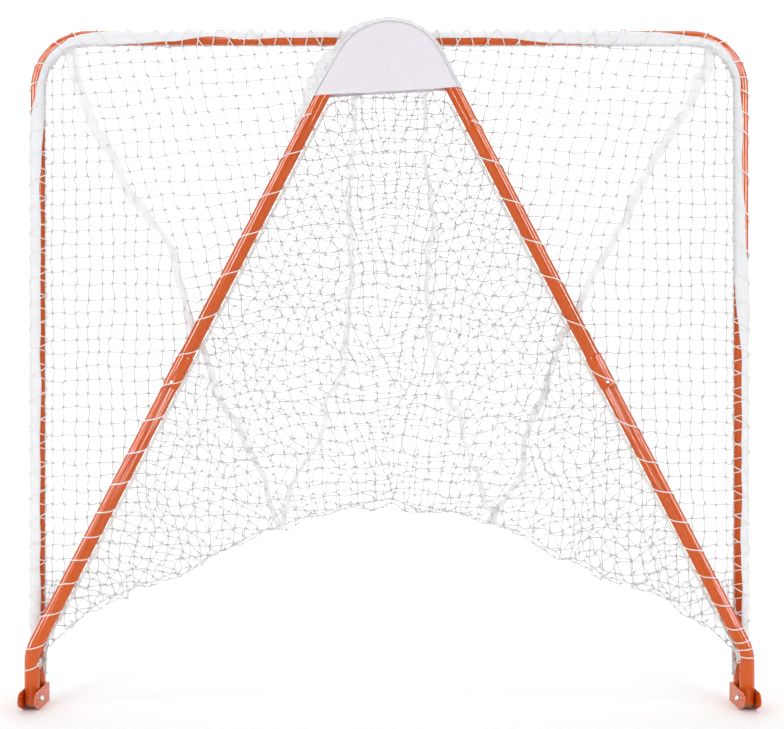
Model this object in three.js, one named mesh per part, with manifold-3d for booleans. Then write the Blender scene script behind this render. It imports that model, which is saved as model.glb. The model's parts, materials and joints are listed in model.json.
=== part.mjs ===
// Folding lacrosse goal, standing with its V base folded up against the mouth frame. Millimetres, +Z up.
// Every piece is built in the frame of the mouth: the posts and the crossbar lie in the plane y = 0 and the
// V base stands behind it, towards -Y. One group then moves the whole goal, to centre its box on y = 0.
import * as THREE from 'three';
import { mergeVertices } from 'three/addons/utils/BufferGeometryUtils.js';
import Module from 'manifold-3d';

const wasm = await Module();
wasm.setup();

// Tube
const TUBE_RADIUS = 19.05;
const TUBE_WALL = 1.5;
const TUBE_BORE = TUBE_RADIUS - TUBE_WALL;
const GAP = 0.3;
const TURNED_SIDES = 16;

// Mouth frame
const MOUTH_WIDTH = 1829;
const POST_X = MOUTH_WIDTH / 2 + TUBE_RADIUS;
const CROSSBAR_HEIGHT = 1766;
const TOP_BEND_RADIUS = 135;
const CROSSBAR_JOINT_X = 700;
const SLEEVE_LENGTH = 130;
const SLEEVE_RADIUS = 16.9;

// V base, folded up
const PIVOT_BACK = 55;
const PIVOT_HEIGHT = 28;
const LEG_BELOW_PIVOT = 14;
const KINK_HEIGHT = 150;
const KINK_RADIUS = 120;
const APEX_HEIGHT = 1781;
const APEX_RADIUS = 135;
const LEG_JOINT_HEIGHT = 895;
const SOCKET_RADIUS = 21.2;
const SOCKET_BORE = 19.75;
const SOCKET_ABOVE = 30;
const SOCKET_BELOW = 60;

// Hinge bracket and its fasteners
const PLATE_THICKNESS = 3;
const PLATE_HEIGHT = 52;
const PLATE_FRONT = 28;
const PLATE_REAR = 108;
const PLATE_FRONT_CORNER = 12;
const PLATE_END_RADIUS = 19;
const PLATE_HEEL = 62;
const INDEX_HOLE_RADIUS = 3;
const BOLT_RADIUS = 4;
const BOLT_HOLE_RADIUS = 4.3;
const WASHER_RADIUS = 8;
const WASHER_THICKNESS = 1.6;
const BOLT_HEAD_RADIUS = 7;
const BOLT_HEAD_HEIGHT = 4.4;
const SOCKET_KEY = 5;
const SOCKET_KEY_DEPTH = 3;
const NUT_ACROSS_FLATS = 13;
const NUT_HEIGHT = 6.5;
const BOLT_PAST_NUT = 2.5;
const BUSH_RADIUS = 6.5;
const BUSH_END_GAP = 0.5;

// Index holes of the bracket: distance from the pivot and angle above the line that points rearwards
const INDEX_HOLES = [
  [42, -8],
  [42, 6],
  [42, 20],
  [30, -14],
  [30, 4],
  [30, 22],
  [22, 50],
];

// Snap buttons
const BUTTON_RADIUS = 3.7;
const BUTTON_HOLE_RADIUS = 4.1;
const BUTTON_FLANGE_RADIUS = 5.5;
const BUTTON_FLANGE_THICKNESS = 1.2;
const BUTTON_FLANGE_SETBACK = 1.3;
const BUTTON_PROUD = 2.6;
const BUTTON_BELOW_JOINT = 47;

// Leaf spring of a snap button: its bend lies down the tube, and both arms end beyond the button
const LEAF_ARM_END = 7;
const LEAF_BEND = 44;
const LEAF_BEND_INSIDE = 41;
const LEAF_BEND_DEPTH = 0.4;
const LEAF_FAR_ARM = 14;
const LEAF_THICKNESS = 0.9;
const LEAF_WIDTH = 8;

// Net, tape, laces and hood
const TAPE_THICKNESS = 1;
const TAPE_HALF_ANGLE = 1.0;
const TAPE_STEPS = 8;
const TAPE_FOOT = 95;
const LACE_RADIUS = 1.5;
const LACE_SIDES = 3;
const LACE_END_GAP = 6;
const POST_LACE_ORBIT = 25.6;
const POST_LACE_PITCH = 62;
const LEG_LACE_ORBIT = 24.7;
const LEG_LACE_PITCH = 110;
const LEG_LACE_START = 92;
const LEG_LACE_TOP = 1575;
const ROPE_RADIUS = 3;
const ROPE_OFFSET = 29.5;
const ROPE_ABOVE_KINK = 60;
const NET_THICKNESS = 1.2;
const FRONT_NET_BACK = 27;
const REAR_NET_BACK = 32.8;
const FRONT_NET_INSET = 30;
const REAR_NET_INSET = 34;
const FRONT_NET_FOOT = 150;
const REAR_NET_FOOT = 215;
const REAR_NET_FOOT_INSET = 8;
const NET_BELOW_HOOD = 12;
const SEAM_WIDTH = 24;
const SEAM_THICKNESS = 0.8;
const HOOD_CLEARANCE = 0.6;
const HOOD_WALL = 1.4;
const HOOD_BOTTOM = 1597;

// Lower edge of the hanging net, from beside a post to the middle of the goal: x, z
const NET_FOLD = [
  [831, 214],
  [698, 294],
  [537, 359],
  [376, 447],
  [290, 525],
  [0, 535],
];

// Seams of the net, from a top corner down to the fold and from the hood down to the fold: x, z
const FRONT_SEAM = [
  [826, 1700],
  [560, 1180],
  [420, 830],
  [290, 552],
];
const REAR_SEAM = [
  [92, 1585],
  [105, 1030],
  [205, 690],
  [290, 552],
];

const surface = (color, roughness, metalness) =>
  new THREE.MeshStandardMaterial({ color, roughness, metalness });
const orangePaint = () => surface(0xd9480f, 0.28, 0.1);
const zincSteel = () => surface(0xb9bcc0, 0.35, 0.9);
const whiteCord = () => surface(0xf2f1ee, 0.85, 0);
const whiteCloth = () => surface(0xeceaf0, 0.8, 0);

const goal = new THREE.Group();
goal.position.y = (PLATE_REAR - PLATE_FRONT) / 2;

function add(name, geometry, material) {
  const mesh = new THREE.Mesh(geometry, material);
  mesh.name = name;
  goal.add(mesh);
  return mesh;
}

// A run of straight lengths joined by round bends, with a station only where the shape needs one.
class BentPath extends THREE.Curve {
  constructor(corners, bendRadius, arcSteps) {
    super();
    const first = corners[0];
    const last = corners[corners.length - 1];
    this.stations = [{ point: first.clone(), tangent: corners[1].clone().sub(first).normalize() }];
    for (let i = 1; i < corners.length - 1; i += 1) {
      const along = corners[i].clone().sub(corners[i - 1]).normalize();
      const onward = corners[i + 1].clone().sub(corners[i]).normalize();
      const turn = along.angleTo(onward);
      const inward = onward.clone().addScaledVector(along, -Math.cos(turn)).normalize();
      const start = corners[i].clone().addScaledVector(along, -bendRadius * Math.tan(turn / 2));
      const centre = start.addScaledVector(inward, bendRadius);
      for (let k = 0; k <= arcSteps; k += 1) {
        const angle = (turn * k) / arcSteps;
        const point = centre
          .clone()
          .addScaledVector(inward, -bendRadius * Math.cos(angle))
          .addScaledVector(along, bendRadius * Math.sin(angle));
        const tangent = along.clone().multiplyScalar(Math.cos(angle));
        tangent.addScaledVector(inward, Math.sin(angle));
        this.stations.push({ point, tangent });
      }
    }
    const arriving = last.clone().sub(corners[corners.length - 2]).normalize();
    this.stations.push({ point: last.clone(), tangent: arriving });
    this.steps = this.stations.length - 1;
    this.travelled = [0];
    for (let i = 1; i <= this.steps; i += 1) {
      const length = this.stations[i].point.distanceTo(this.stations[i - 1].point);
      this.travelled.push(this.travelled[i - 1] + length);
    }
    this.total = this.travelled[this.steps];
  }

  getPointAt(u) {
    return this.stations[Math.round(u * this.steps)].point.clone();
  }

  getTangentAt(u) {
    return this.stations[Math.round(u * this.steps)].tangent.clone();
  }

  // Point and direction at a distance along the run.
  at(distance) {
    let i = 1;
    while (i < this.steps && this.travelled[i] < distance) i += 1;
    const a = this.stations[i - 1].point;
    const b = this.stations[i].point;
    const share = (distance - this.travelled[i - 1]) / (this.travelled[i] - this.travelled[i - 1]);
    return { point: a.clone().lerp(b, share), direction: b.clone().sub(a).normalize() };
  }
}

// A run through listed points, which all become stations.
class PointPath extends THREE.Curve {
  constructor(points) {
    super();
    this.points = points;
    this.steps = points.length - 1;
  }

  getPointAt(u) {
    return this.points[Math.round(u * this.steps)].clone();
  }

  getTangentAt(u) {
    const i = Math.round(u * this.steps);
    const before = this.points[Math.max(i - 1, 0)];
    const after = this.points[Math.min(i + 1, this.steps)];
    return after.clone().sub(before).normalize();
  }
}

function ring(outer, inner) {
  const shape = new THREE.Shape();
  shape.absarc(0, 0, outer, 0, 2 * Math.PI, false);
  if (inner > 0) {
    const hole = new THREE.Path();
    hole.absarc(0, 0, inner, 0, 2 * Math.PI, true);
    shape.holes.push(hole);
  }
  return shape;
}

function sweep(shape, path, halfSides = 8) {
  return new THREE.ExtrudeGeometry(shape, { steps: path.steps, curveSegments: halfSides, extrudePath: path });
}

function regularSection(radius, sides) {
  const shape = new THREE.Shape();
  for (let i = 0; i < sides; i += 1) {
    const angle = (2 * Math.PI * i) / sides;
    if (i === 0) shape.moveTo(radius * Math.cos(angle), radius * Math.sin(angle));
    else shape.lineTo(radius * Math.cos(angle), radius * Math.sin(angle));
  }
  shape.closePath();
  return shape;
}

function toSolid(geometry) {
  const bare = geometry.clone();
  bare.deleteAttribute('normal');
  bare.deleteAttribute('uv');
  const merged = mergeVertices(bare, 1e-4);
  const vertProperties = new Float32Array(merged.attributes.position.array);
  const triVerts = new Uint32Array(merged.index.array);
  return new wasm.Manifold(new wasm.Mesh({ numProp: 3, vertProperties, triVerts }));
}

function toGeometry(solid) {
  const mesh = solid.getMesh();
  const geometry = new THREE.BufferGeometry();
  geometry.setAttribute('position', new THREE.BufferAttribute(new Float32Array(mesh.vertProperties), 3));
  geometry.setIndex(new THREE.BufferAttribute(new Uint32Array(mesh.triVerts), 1));
  return geometry;
}

function cut(geometry, cutters) {
  let solid = toSolid(geometry);
  for (const cutter of cutters) solid = solid.subtract(toSolid(cutter));
  return toGeometry(solid);
}

// Cylinder of a round hole: its axis is X or Y and it is centred on a point.
function holeCutter(radius, length, axis, centre) {
  const geometry = new THREE.CylinderGeometry(radius, radius, length, 12);
  if (axis === 'x') geometry.rotateZ(Math.PI / 2);
  geometry.translate(centre.x, centre.y, centre.z);
  return geometry;
}

// Turned piece: profile points are radius and height along +Y.
function turned(profile) {
  const points = profile.map(([radius, height]) => new THREE.Vector2(radius, height));
  return new THREE.LatheGeometry(points, TURNED_SIDES);
}

function tubePiece(outer, inner, length) {
  const half = length / 2;
  return turned([
    [inner, -half],
    [outer, -half],
    [outer, half],
    [inner, half],
    [inner, -half],
  ]);
}

// The cord's helix around a tube, from one distance along the tube to another.
function laceRoute(spine, from, to, { pitch, orbit, steps, hand }) {
  const depth = new THREE.Vector3(0, 1, 0);
  const count = Math.round(((to - from) / pitch) * steps);
  const points = [];
  for (let i = 0; i <= count; i += 1) {
    const angle = (hand * 2 * Math.PI * i) / steps;
    const { point, direction } = spine.at(from + ((to - from) * i) / count);
    const side = direction.clone().cross(depth);
    point.addScaledVector(side, orbit * Math.cos(angle)).addScaledVector(depth, orbit * Math.sin(angle));
    points.push(point);
  }
  return new PointPath(points);
}

function lace(name, spine, from, to, winding) {
  const route = laceRoute(spine, from, to, winding);
  add(name, sweep(regularSection(LACE_RADIUS, LACE_SIDES), route), whiteCord());
}

function slab(shape, thickness) {
  return new THREE.ExtrudeGeometry(shape, { depth: thickness, bevelEnabled: false, curveSegments: 6 });
}

// Flat piece in an upright plane: its shape is drawn in x and z, and its thickness runs forwards from back.
function upright(shape, thickness, back) {
  const geometry = slab(shape, thickness);
  geometry.rotateX(Math.PI / 2);
  geometry.translate(0, back + thickness, 0);
  return geometry;
}

// Plate whose shape is drawn in y and z and whose thickness runs towards +X.
function sidePlate(shape, thickness, x) {
  const geometry = slab(shape, thickness);
  const toSide = new THREE.Matrix4().makeBasis(
    new THREE.Vector3(0, 1, 0),
    new THREE.Vector3(0, 0, 1),
    new THREE.Vector3(1, 0, 0),
  );
  geometry.applyMatrix4(toSide);
  geometry.translate(x, 0, 0);
  return geometry;
}

const leanSide = Math.atan2(POST_X, APEX_HEIGHT - APEX_RADIUS - KINK_HEIGHT);
const leanReach = Math.hypot(POST_X, APEX_HEIGHT - APEX_RADIUS - KINK_HEIGHT);
const LEAN = leanSide - Math.asin(APEX_RADIUS / leanReach);
const APEX_CORNER = KINK_HEIGHT + POST_X / Math.tan(LEAN);
const legX = (z) => POST_X - (z - KINK_HEIGHT) * Math.tan(LEAN);
const sides = [
  ['left', -1],
  ['right', 1],
];

// Posts with their bent top corners
const postPath = (side) =>
  new BentPath(
    [
      new THREE.Vector3(side * POST_X, 0, 0),
      new THREE.Vector3(side * POST_X, 0, CROSSBAR_HEIGHT),
      new THREE.Vector3(side * (CROSSBAR_JOINT_X + GAP / 2), 0, CROSSBAR_HEIGHT),
    ],
    TOP_BEND_RADIUS,
    8,
  );
const crossbarPath = new BentPath(
  [
    new THREE.Vector3(-CROSSBAR_JOINT_X + GAP / 2, 0, CROSSBAR_HEIGHT),
    new THREE.Vector3(CROSSBAR_JOINT_X - GAP / 2, 0, CROSSBAR_HEIGHT),
  ],
  0,
  0,
);
for (const [word, side] of sides) {
  add(`${word}_post`, sweep(ring(TUBE_RADIUS, TUBE_BORE), postPath(side)), orangePaint());
  const sleeve = add(
    `${word}_crossbar_sleeve`,
    tubePiece(SLEEVE_RADIUS, SLEEVE_RADIUS - TUBE_WALL, SLEEVE_LENGTH),
    zincSteel(),
  );
  sleeve.position.set(side * CROSSBAR_JOINT_X, 0, CROSSBAR_HEIGHT);
  sleeve.rotation.z = Math.PI / 2;
}
add('crossbar', sweep(ring(TUBE_RADIUS, TUBE_BORE), crossbarPath), orangePaint());

// Legs of the V base and the bow that joins them
const legPath = (side) =>
  new BentPath(
    [
      new THREE.Vector3(side * POST_X, -PIVOT_BACK, PIVOT_HEIGHT - LEG_BELOW_PIVOT),
      new THREE.Vector3(side * POST_X, -PIVOT_BACK, KINK_HEIGHT),
      new THREE.Vector3(side * legX(LEG_JOINT_HEIGHT), -PIVOT_BACK, LEG_JOINT_HEIGHT - GAP),
    ],
    KINK_RADIUS,
    4,
  );
const bowPath = new BentPath(
  [
    new THREE.Vector3(-legX(LEG_JOINT_HEIGHT), -PIVOT_BACK, LEG_JOINT_HEIGHT),
    new THREE.Vector3(0, -PIVOT_BACK, APEX_CORNER),
    new THREE.Vector3(legX(LEG_JOINT_HEIGHT), -PIVOT_BACK, LEG_JOINT_HEIGHT),
  ],
  APEX_RADIUS,
  10,
);
const upLeg = (side) => new THREE.Vector3(-side * Math.sin(LEAN), 0, Math.cos(LEAN));

add('apex_bow', sweep(ring(TUBE_RADIUS, TUBE_BORE), bowPath), orangePaint());
for (const [word, side] of sides) {
  const pivot = new THREE.Vector3(side * POST_X, -PIVOT_BACK, PIVOT_HEIGHT);
  const joint = new THREE.Vector3(side * legX(LEG_JOINT_HEIGHT), -PIVOT_BACK, LEG_JOINT_HEIGHT);
  const button = joint.clone().addScaledVector(upLeg(side), -BUTTON_BELOW_JOINT);
  const buttonHole = holeCutter(BUTTON_HOLE_RADIUS, 16, 'y', button.clone().setY(-PIVOT_BACK - TUBE_RADIUS));
  const path = legPath(side);
  const pivotHole = holeCutter(BOLT_HOLE_RADIUS, 3 * TUBE_RADIUS, 'x', pivot);
  const leg = sweep(ring(TUBE_RADIUS, TUBE_BORE), path);
  add(`${word}_leg`, cut(leg, [pivotHole, buttonHole]), orangePaint());

  const socketLength = SOCKET_ABOVE + SOCKET_BELOW;
  const socket = tubePiece(SOCKET_RADIUS, SOCKET_BORE, socketLength);
  socket.rotateX(Math.PI / 2);
  socket.rotateY(-side * LEAN);
  const socketCentre = joint.clone().addScaledVector(upLeg(side), (SOCKET_ABOVE - SOCKET_BELOW) / 2);
  socket.translate(socketCentre.x, socketCentre.y, socketCentre.z);
  add(`${word}_leg_socket`, cut(socket, [buttonHole]), orangePaint());

  const flange = TUBE_BORE - BUTTON_FLANGE_SETBACK;
  const flangeBack = flange - BUTTON_FLANGE_THICKNESS;
  const dome = SOCKET_RADIUS + BUTTON_PROUD;
  const buttonGeometry = turned([
    [0, -dome],
    [BUTTON_RADIUS * 0.75, -dome + BUTTON_PROUD / 4],
    [BUTTON_RADIUS, -dome + BUTTON_PROUD * 0.7],
    [BUTTON_RADIUS, -flange],
    [BUTTON_FLANGE_RADIUS, -flange],
    [BUTTON_FLANGE_RADIUS, -flangeBack],
    [0, -flangeBack],
  ]);
  add(`${word}_snap_button`, buttonGeometry, zincSteel()).position.copy(button);

  // The button's leaf spring: one arm under the flange, the other against the far wall of the tube
  const leafTop = flangeBack - GAP;
  const leaf = new THREE.Shape();
  leaf.moveTo(LEAF_ARM_END, leafTop);
  leaf.lineTo(-LEAF_BEND, LEAF_BEND_DEPTH);
  leaf.lineTo(LEAF_ARM_END, -LEAF_FAR_ARM);
  leaf.lineTo(LEAF_ARM_END, -LEAF_FAR_ARM + LEAF_THICKNESS);
  leaf.lineTo(-LEAF_BEND_INSIDE, LEAF_BEND_DEPTH);
  leaf.lineTo(LEAF_ARM_END, leafTop - LEAF_THICKNESS);
  leaf.closePath();
  const leafGeometry = slab(leaf, LEAF_WIDTH);
  leafGeometry.translate(0, 0, -LEAF_WIDTH / 2);
  const alongLeg = upLeg(side);
  const outward = new THREE.Vector3(0, -1, 0);
  leafGeometry.applyMatrix4(
    new THREE.Matrix4().makeBasis(alongLeg, outward, alongLeg.clone().cross(outward)),
  );
  add(`${word}_button_spring`, leafGeometry, zincSteel()).position.copy(button);

  // Pivot: bush, bolt, washers and nut on one axis across the bracket
  const plateOffset = TUBE_RADIUS + GAP;
  const washerAt = plateOffset + PLATE_THICKNESS + GAP;
  const headAt = washerAt + WASHER_THICKNESS + GAP;
  const boltEnd = headAt + NUT_HEIGHT + BOLT_PAST_NUT;
  const bushHalf = Math.sqrt(TUBE_BORE ** 2 - BUSH_RADIUS ** 2) - BUSH_END_GAP;
  const crossways = (geometry) => geometry.rotateZ((side * -Math.PI) / 2);
  const bush = crossways(tubePiece(BUSH_RADIUS, BOLT_HOLE_RADIUS, 2 * bushHalf));
  add(`${word}_pivot_bush`, bush, zincSteel()).position.copy(pivot);
  const bolt = crossways(
    turned([
      [0, -headAt - BOLT_HEAD_HEIGHT],
      [BOLT_HEAD_RADIUS * 0.6, -headAt - BOLT_HEAD_HEIGHT],
      [BOLT_HEAD_RADIUS, -headAt - BOLT_HEAD_HEIGHT * 0.4],
      [BOLT_HEAD_RADIUS, -headAt],
      [BOLT_RADIUS, -headAt],
      [BOLT_RADIUS, boltEnd],
      [0, boltEnd],
    ]),
  );
  const keyRadius = SOCKET_KEY / Math.sqrt(3);
  const keyHole = new THREE.CylinderGeometry(keyRadius, keyRadius, 2 * SOCKET_KEY_DEPTH, 6);
  keyHole.rotateZ(Math.PI / 2);
  keyHole.translate(-side * (headAt + BOLT_HEAD_HEIGHT), 0, 0);
  add(`${word}_pivot_bolt`, cut(bolt, [keyHole]), zincSteel()).position.copy(pivot);
  for (const [place, sign] of [['inner', -1], ['outer', 1]]) {
    const washer = crossways(tubePiece(WASHER_RADIUS, BOLT_HOLE_RADIUS, WASHER_THICKNESS));
    const mesh = add(`${word}_${place}_washer`, washer, zincSteel());
    mesh.position.copy(pivot);
    mesh.position.x += side * sign * (washerAt + WASHER_THICKNESS / 2);
  }
  const nutShape = regularSection(NUT_ACROSS_FLATS / Math.sqrt(3), 6);
  const nutHole = new THREE.Path();
  nutHole.absarc(0, 0, BOLT_HOLE_RADIUS, 0, 2 * Math.PI, true);
  nutShape.holes.push(nutHole);
  const nutStart = side > 0 ? headAt : -headAt - NUT_HEIGHT;
  add(`${word}_pivot_nut`, sidePlate(nutShape, NUT_HEIGHT, nutStart), zincSteel()).position.copy(pivot);

  // Bracket plates, one on each side of the post foot and the leg: the lower edge is flat as far as the heel,
  // then rises to meet the round rear end
  const plate = new THREE.Shape();
  const endCentre = new THREE.Vector2(PLATE_END_RADIUS - PLATE_REAR, PLATE_HEIGHT - PLATE_END_RADIUS);
  const toHeel = new THREE.Vector2(-PLATE_HEEL, 0).sub(endCentre);
  const heelAngle = Math.atan2(toHeel.y, toHeel.x);
  const endAngle = 2 * Math.PI + heelAngle - Math.acos(PLATE_END_RADIUS / toHeel.length());
  plate.moveTo(PLATE_FRONT, 0);
  plate.lineTo(PLATE_FRONT, PLATE_HEIGHT - PLATE_FRONT_CORNER);
  plate.absarc(
    PLATE_FRONT - PLATE_FRONT_CORNER,
    PLATE_HEIGHT - PLATE_FRONT_CORNER,
    PLATE_FRONT_CORNER,
    0,
    Math.PI / 2,
    false,
  );
  plate.lineTo(endCentre.x, PLATE_HEIGHT);
  plate.absarc(endCentre.x, endCentre.y, PLATE_END_RADIUS, Math.PI / 2, endAngle, false);
  plate.lineTo(-PLATE_HEEL, 0);
  plate.closePath();
  const pierce = (y, z, radius) => {
    const hole = new THREE.Path();
    hole.absarc(y, z, radius, 0, 2 * Math.PI, true);
    plate.holes.push(hole);
  };
  pierce(-PIVOT_BACK, PIVOT_HEIGHT, BOLT_HOLE_RADIUS);
  for (const [distance, degrees] of INDEX_HOLES) {
    const angle = THREE.MathUtils.degToRad(degrees);
    pierce(
      -PIVOT_BACK - distance * Math.cos(angle),
      PIVOT_HEIGHT + distance * Math.sin(angle),
      INDEX_HOLE_RADIUS,
    );
  }
  for (const [place, sign] of [['inner', -1], ['outer', 1]]) {
    const near = side * sign > 0 ? plateOffset : -plateOffset - PLATE_THICKNESS;
    add(`${word}_${place}_plate`, sidePlate(plate, PLATE_THICKNESS, side * POST_X + near), orangePaint());
  }
}

// Border tape: a strip that covers the back of the posts and the crossbar
const tapeArc = (facing) => {
  const inner = (TUBE_RADIUS + GAP) / Math.cos(TAPE_HALF_ANGLE / TAPE_STEPS);
  const outer = inner + TAPE_THICKNESS;
  const shape = new THREE.Shape();
  shape.absarc(0, 0, outer, facing - TAPE_HALF_ANGLE, facing + TAPE_HALF_ANGLE, false);
  shape.absarc(0, 0, inner, facing + TAPE_HALF_ANGLE, facing - TAPE_HALF_ANGLE, true);
  shape.closePath();
  return shape;
};
const tapeShape = (path) => {
  const { normals, binormals } = path.computeFrenetFrames(path.steps, false);
  const back = new THREE.Vector3(0, -1, 0);
  return tapeArc(Math.atan2(binormals[0].dot(back), normals[0].dot(back)));
};
const postWinding = (hand) => ({ pitch: POST_LACE_PITCH, orbit: POST_LACE_ORBIT, steps: 6, hand });
for (const [word, side] of sides) {
  const path = new BentPath(
    [
      new THREE.Vector3(side * POST_X, 0, TAPE_FOOT),
      new THREE.Vector3(side * POST_X, 0, CROSSBAR_HEIGHT),
      new THREE.Vector3(side * (CROSSBAR_JOINT_X + GAP), 0, CROSSBAR_HEIGHT),
    ],
    TOP_BEND_RADIUS,
    8,
  );
  add(`${word}_border_tape`, sweep(tapeShape(path), path, TAPE_STEPS / 2), whiteCloth());
  const spine = postPath(side);
  lace(`${word}_post_lace`, spine, TAPE_FOOT, spine.total - LACE_END_GAP, postWinding(side));
}
add('top_border_tape', sweep(tapeShape(crossbarPath), crossbarPath, TAPE_STEPS / 2), whiteCloth());
lace('crossbar_lace', crossbarPath, LACE_END_GAP, crossbarPath.total - LACE_END_GAP, postWinding(1));

// Laces and border ropes of the legs: the lace starts above the kink and stops under the hood
for (const [word, side] of sides) {
  const spine = new BentPath(
    [
      new THREE.Vector3(side * POST_X, -PIVOT_BACK, PIVOT_HEIGHT),
      new THREE.Vector3(side * POST_X, -PIVOT_BACK, KINK_HEIGHT),
      new THREE.Vector3(side * legX(LEG_LACE_TOP), -PIVOT_BACK, LEG_LACE_TOP),
    ],
    KINK_RADIUS,
    4,
  );
  const winding = { pitch: LEG_LACE_PITCH, orbit: LEG_LACE_ORBIT, steps: 8, hand: side };
  lace(`${word}_leg_lace`, spine, LEG_LACE_START, spine.total, winding);
  const inset = new THREE.Vector3(-side * Math.cos(LEAN), 0, -Math.sin(LEAN)).multiplyScalar(ROPE_OFFSET);
  const ropeEnd = (z) => new THREE.Vector3(side * legX(z), -PIVOT_BACK, z).add(inset);
  const rope = new BentPath([ropeEnd(KINK_HEIGHT + ROPE_ABOVE_KINK), ropeEnd(LEG_LACE_TOP)], 0, 0);
  add(`${word}_net_rope`, sweep(regularSection(ROPE_RADIUS, 8), rope), whiteCord());
}

// Net: two hanging layers that meet along the fold at the bottom
const fold = NET_FOLD.map(([x, z]) => new THREE.Vector2(x, z));
const mirrored = fold.slice(0, -1).map((point) => new THREE.Vector2(-point.x, point.y));
const acrossFold = [...mirrored, ...fold.slice().reverse()];

const frontNet = new THREE.Shape();
const netEdge = POST_X - FRONT_NET_INSET;
const netTop = CROSSBAR_HEIGHT - FRONT_NET_INSET;
const netCorner = TOP_BEND_RADIUS - FRONT_NET_INSET;
frontNet.moveTo(netEdge, FRONT_NET_FOOT);
frontNet.lineTo(netEdge, netTop - netCorner);
frontNet.absarc(netEdge - netCorner, netTop - netCorner, netCorner, 0, Math.PI / 2, false);
frontNet.absarc(-netEdge + netCorner, netTop - netCorner, netCorner, Math.PI / 2, Math.PI, false);
frontNet.lineTo(-netEdge, FRONT_NET_FOOT);
for (const point of acrossFold) frontNet.lineTo(point.x, point.y);
frontNet.closePath();
add('front_net', upright(frontNet, NET_THICKNESS, -FRONT_NET_BACK), whiteCord());

const rearNet = new THREE.Shape();
const besideLeg = (z) => legX(z) - REAR_NET_INSET / Math.cos(LEAN);
const rearTop = HOOD_BOTTOM - NET_BELOW_HOOD;
const rearFootX = besideLeg(REAR_NET_FOOT) - REAR_NET_FOOT_INSET;
rearNet.moveTo(rearFootX, REAR_NET_FOOT);
rearNet.lineTo(besideLeg(rearTop), rearTop);
rearNet.lineTo(-besideLeg(rearTop), rearTop);
rearNet.lineTo(-rearFootX, REAR_NET_FOOT);
for (const point of acrossFold.slice(1, -1)) rearNet.lineTo(point.x, point.y);
rearNet.closePath();
add('rear_net', upright(rearNet, NET_THICKNESS, -REAR_NET_BACK), whiteCord());

// Seam tapes: from each top corner along the net to the fold, and from the fold up to the hood
function seam(name, route, side, back) {
  const line = route.map(([x, z]) => new THREE.Vector2(side * x, z));
  const half = line.map((point, i) => {
    const run = line[Math.min(i + 1, line.length - 1)].clone().sub(line[Math.max(i - 1, 0)]).normalize();
    return new THREE.Vector2(-run.y, run.x).multiplyScalar(SEAM_WIDTH / 2);
  });
  const oneEdge = line.map((point, i) => point.clone().add(half[i]));
  const otherEdge = line.map((point, i) => point.clone().sub(half[i]));
  const shape = new THREE.Shape([...oneEdge, ...otherEdge.reverse()]);
  add(name, upright(shape, SEAM_THICKNESS, back), whiteCloth());
}
for (const [word, side] of sides) {
  const onFront = -FRONT_NET_BACK + NET_THICKNESS + GAP;
  const onRear = -REAR_NET_BACK - SEAM_THICKNESS - GAP;
  seam(`${word}_front_seam`, FRONT_SEAM, side, onFront);
  seam(`${word}_rear_seam`, REAR_SEAM, side, onRear);
}

// Hood: a cloth pocket over the apex bend, open at the bottom
function bowOutline(offset, bottom) {
  const top = APEX_HEIGHT - APEX_RADIUS;
  const radius = APEX_RADIUS + offset;
  const shape = new THREE.Shape();
  const footX = legX(bottom) + offset / Math.cos(LEAN);
  shape.moveTo(-footX, bottom);
  shape.lineTo(footX, bottom);
  shape.absarc(0, top, radius, LEAN, Math.PI - LEAN, false);
  shape.closePath();
  return shape;
}
function hoodBlock(offset, bottom) {
  const half = TUBE_RADIUS + offset;
  const geometry = new THREE.ExtrudeGeometry(bowOutline(half, bottom), {
    depth: 2 * half,
    bevelEnabled: false,
    curveSegments: 8,
  });
  geometry.rotateX(Math.PI / 2);
  geometry.translate(0, -PIVOT_BACK + half, 0);
  return geometry;
}
const hoodInside = hoodBlock(HOOD_CLEARANCE, HOOD_BOTTOM - 20);
add('apex_hood', cut(hoodBlock(HOOD_CLEARANCE + HOOD_WALL, HOOD_BOTTOM), [hoodInside]), whiteCloth());

export default goal;
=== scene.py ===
import json
import math

import bmesh
import bpy
import numpy as np
from mathutils import Matrix, Vector


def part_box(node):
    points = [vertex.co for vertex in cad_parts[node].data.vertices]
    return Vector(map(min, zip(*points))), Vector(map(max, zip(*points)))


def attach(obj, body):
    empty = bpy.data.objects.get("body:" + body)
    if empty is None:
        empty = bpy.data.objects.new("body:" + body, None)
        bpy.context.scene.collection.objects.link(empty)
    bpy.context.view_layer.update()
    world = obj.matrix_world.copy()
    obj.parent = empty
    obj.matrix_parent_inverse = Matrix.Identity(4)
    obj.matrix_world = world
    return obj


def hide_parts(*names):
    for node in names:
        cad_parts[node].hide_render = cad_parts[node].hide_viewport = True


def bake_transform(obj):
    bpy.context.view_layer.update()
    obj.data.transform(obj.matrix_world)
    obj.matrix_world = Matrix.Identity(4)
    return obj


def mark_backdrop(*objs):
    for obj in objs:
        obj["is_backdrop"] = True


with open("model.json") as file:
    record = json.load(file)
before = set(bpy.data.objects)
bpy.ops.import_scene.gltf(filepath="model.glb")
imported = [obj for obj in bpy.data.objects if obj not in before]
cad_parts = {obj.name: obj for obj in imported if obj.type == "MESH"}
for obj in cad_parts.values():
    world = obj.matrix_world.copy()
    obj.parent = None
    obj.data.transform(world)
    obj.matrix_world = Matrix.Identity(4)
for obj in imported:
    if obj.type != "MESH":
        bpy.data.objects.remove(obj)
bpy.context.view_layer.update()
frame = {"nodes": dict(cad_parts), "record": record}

# ---------------------------------------------------------------- sizes, in millimetres
# TUBE is the tube's outer radius. Each leg has its kink above the foot and meets the apex bow at the joint.
MM = 0.001
TUBE = 19.05
WALL = 1.5
TUBE_SIDES = 40
TUBE_CHAMFER = 0.5
BEND = 135.0
BEND_STEPS = 28
KINK_HEIGHT = 150.0
KINK_BEND = 120.0
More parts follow.
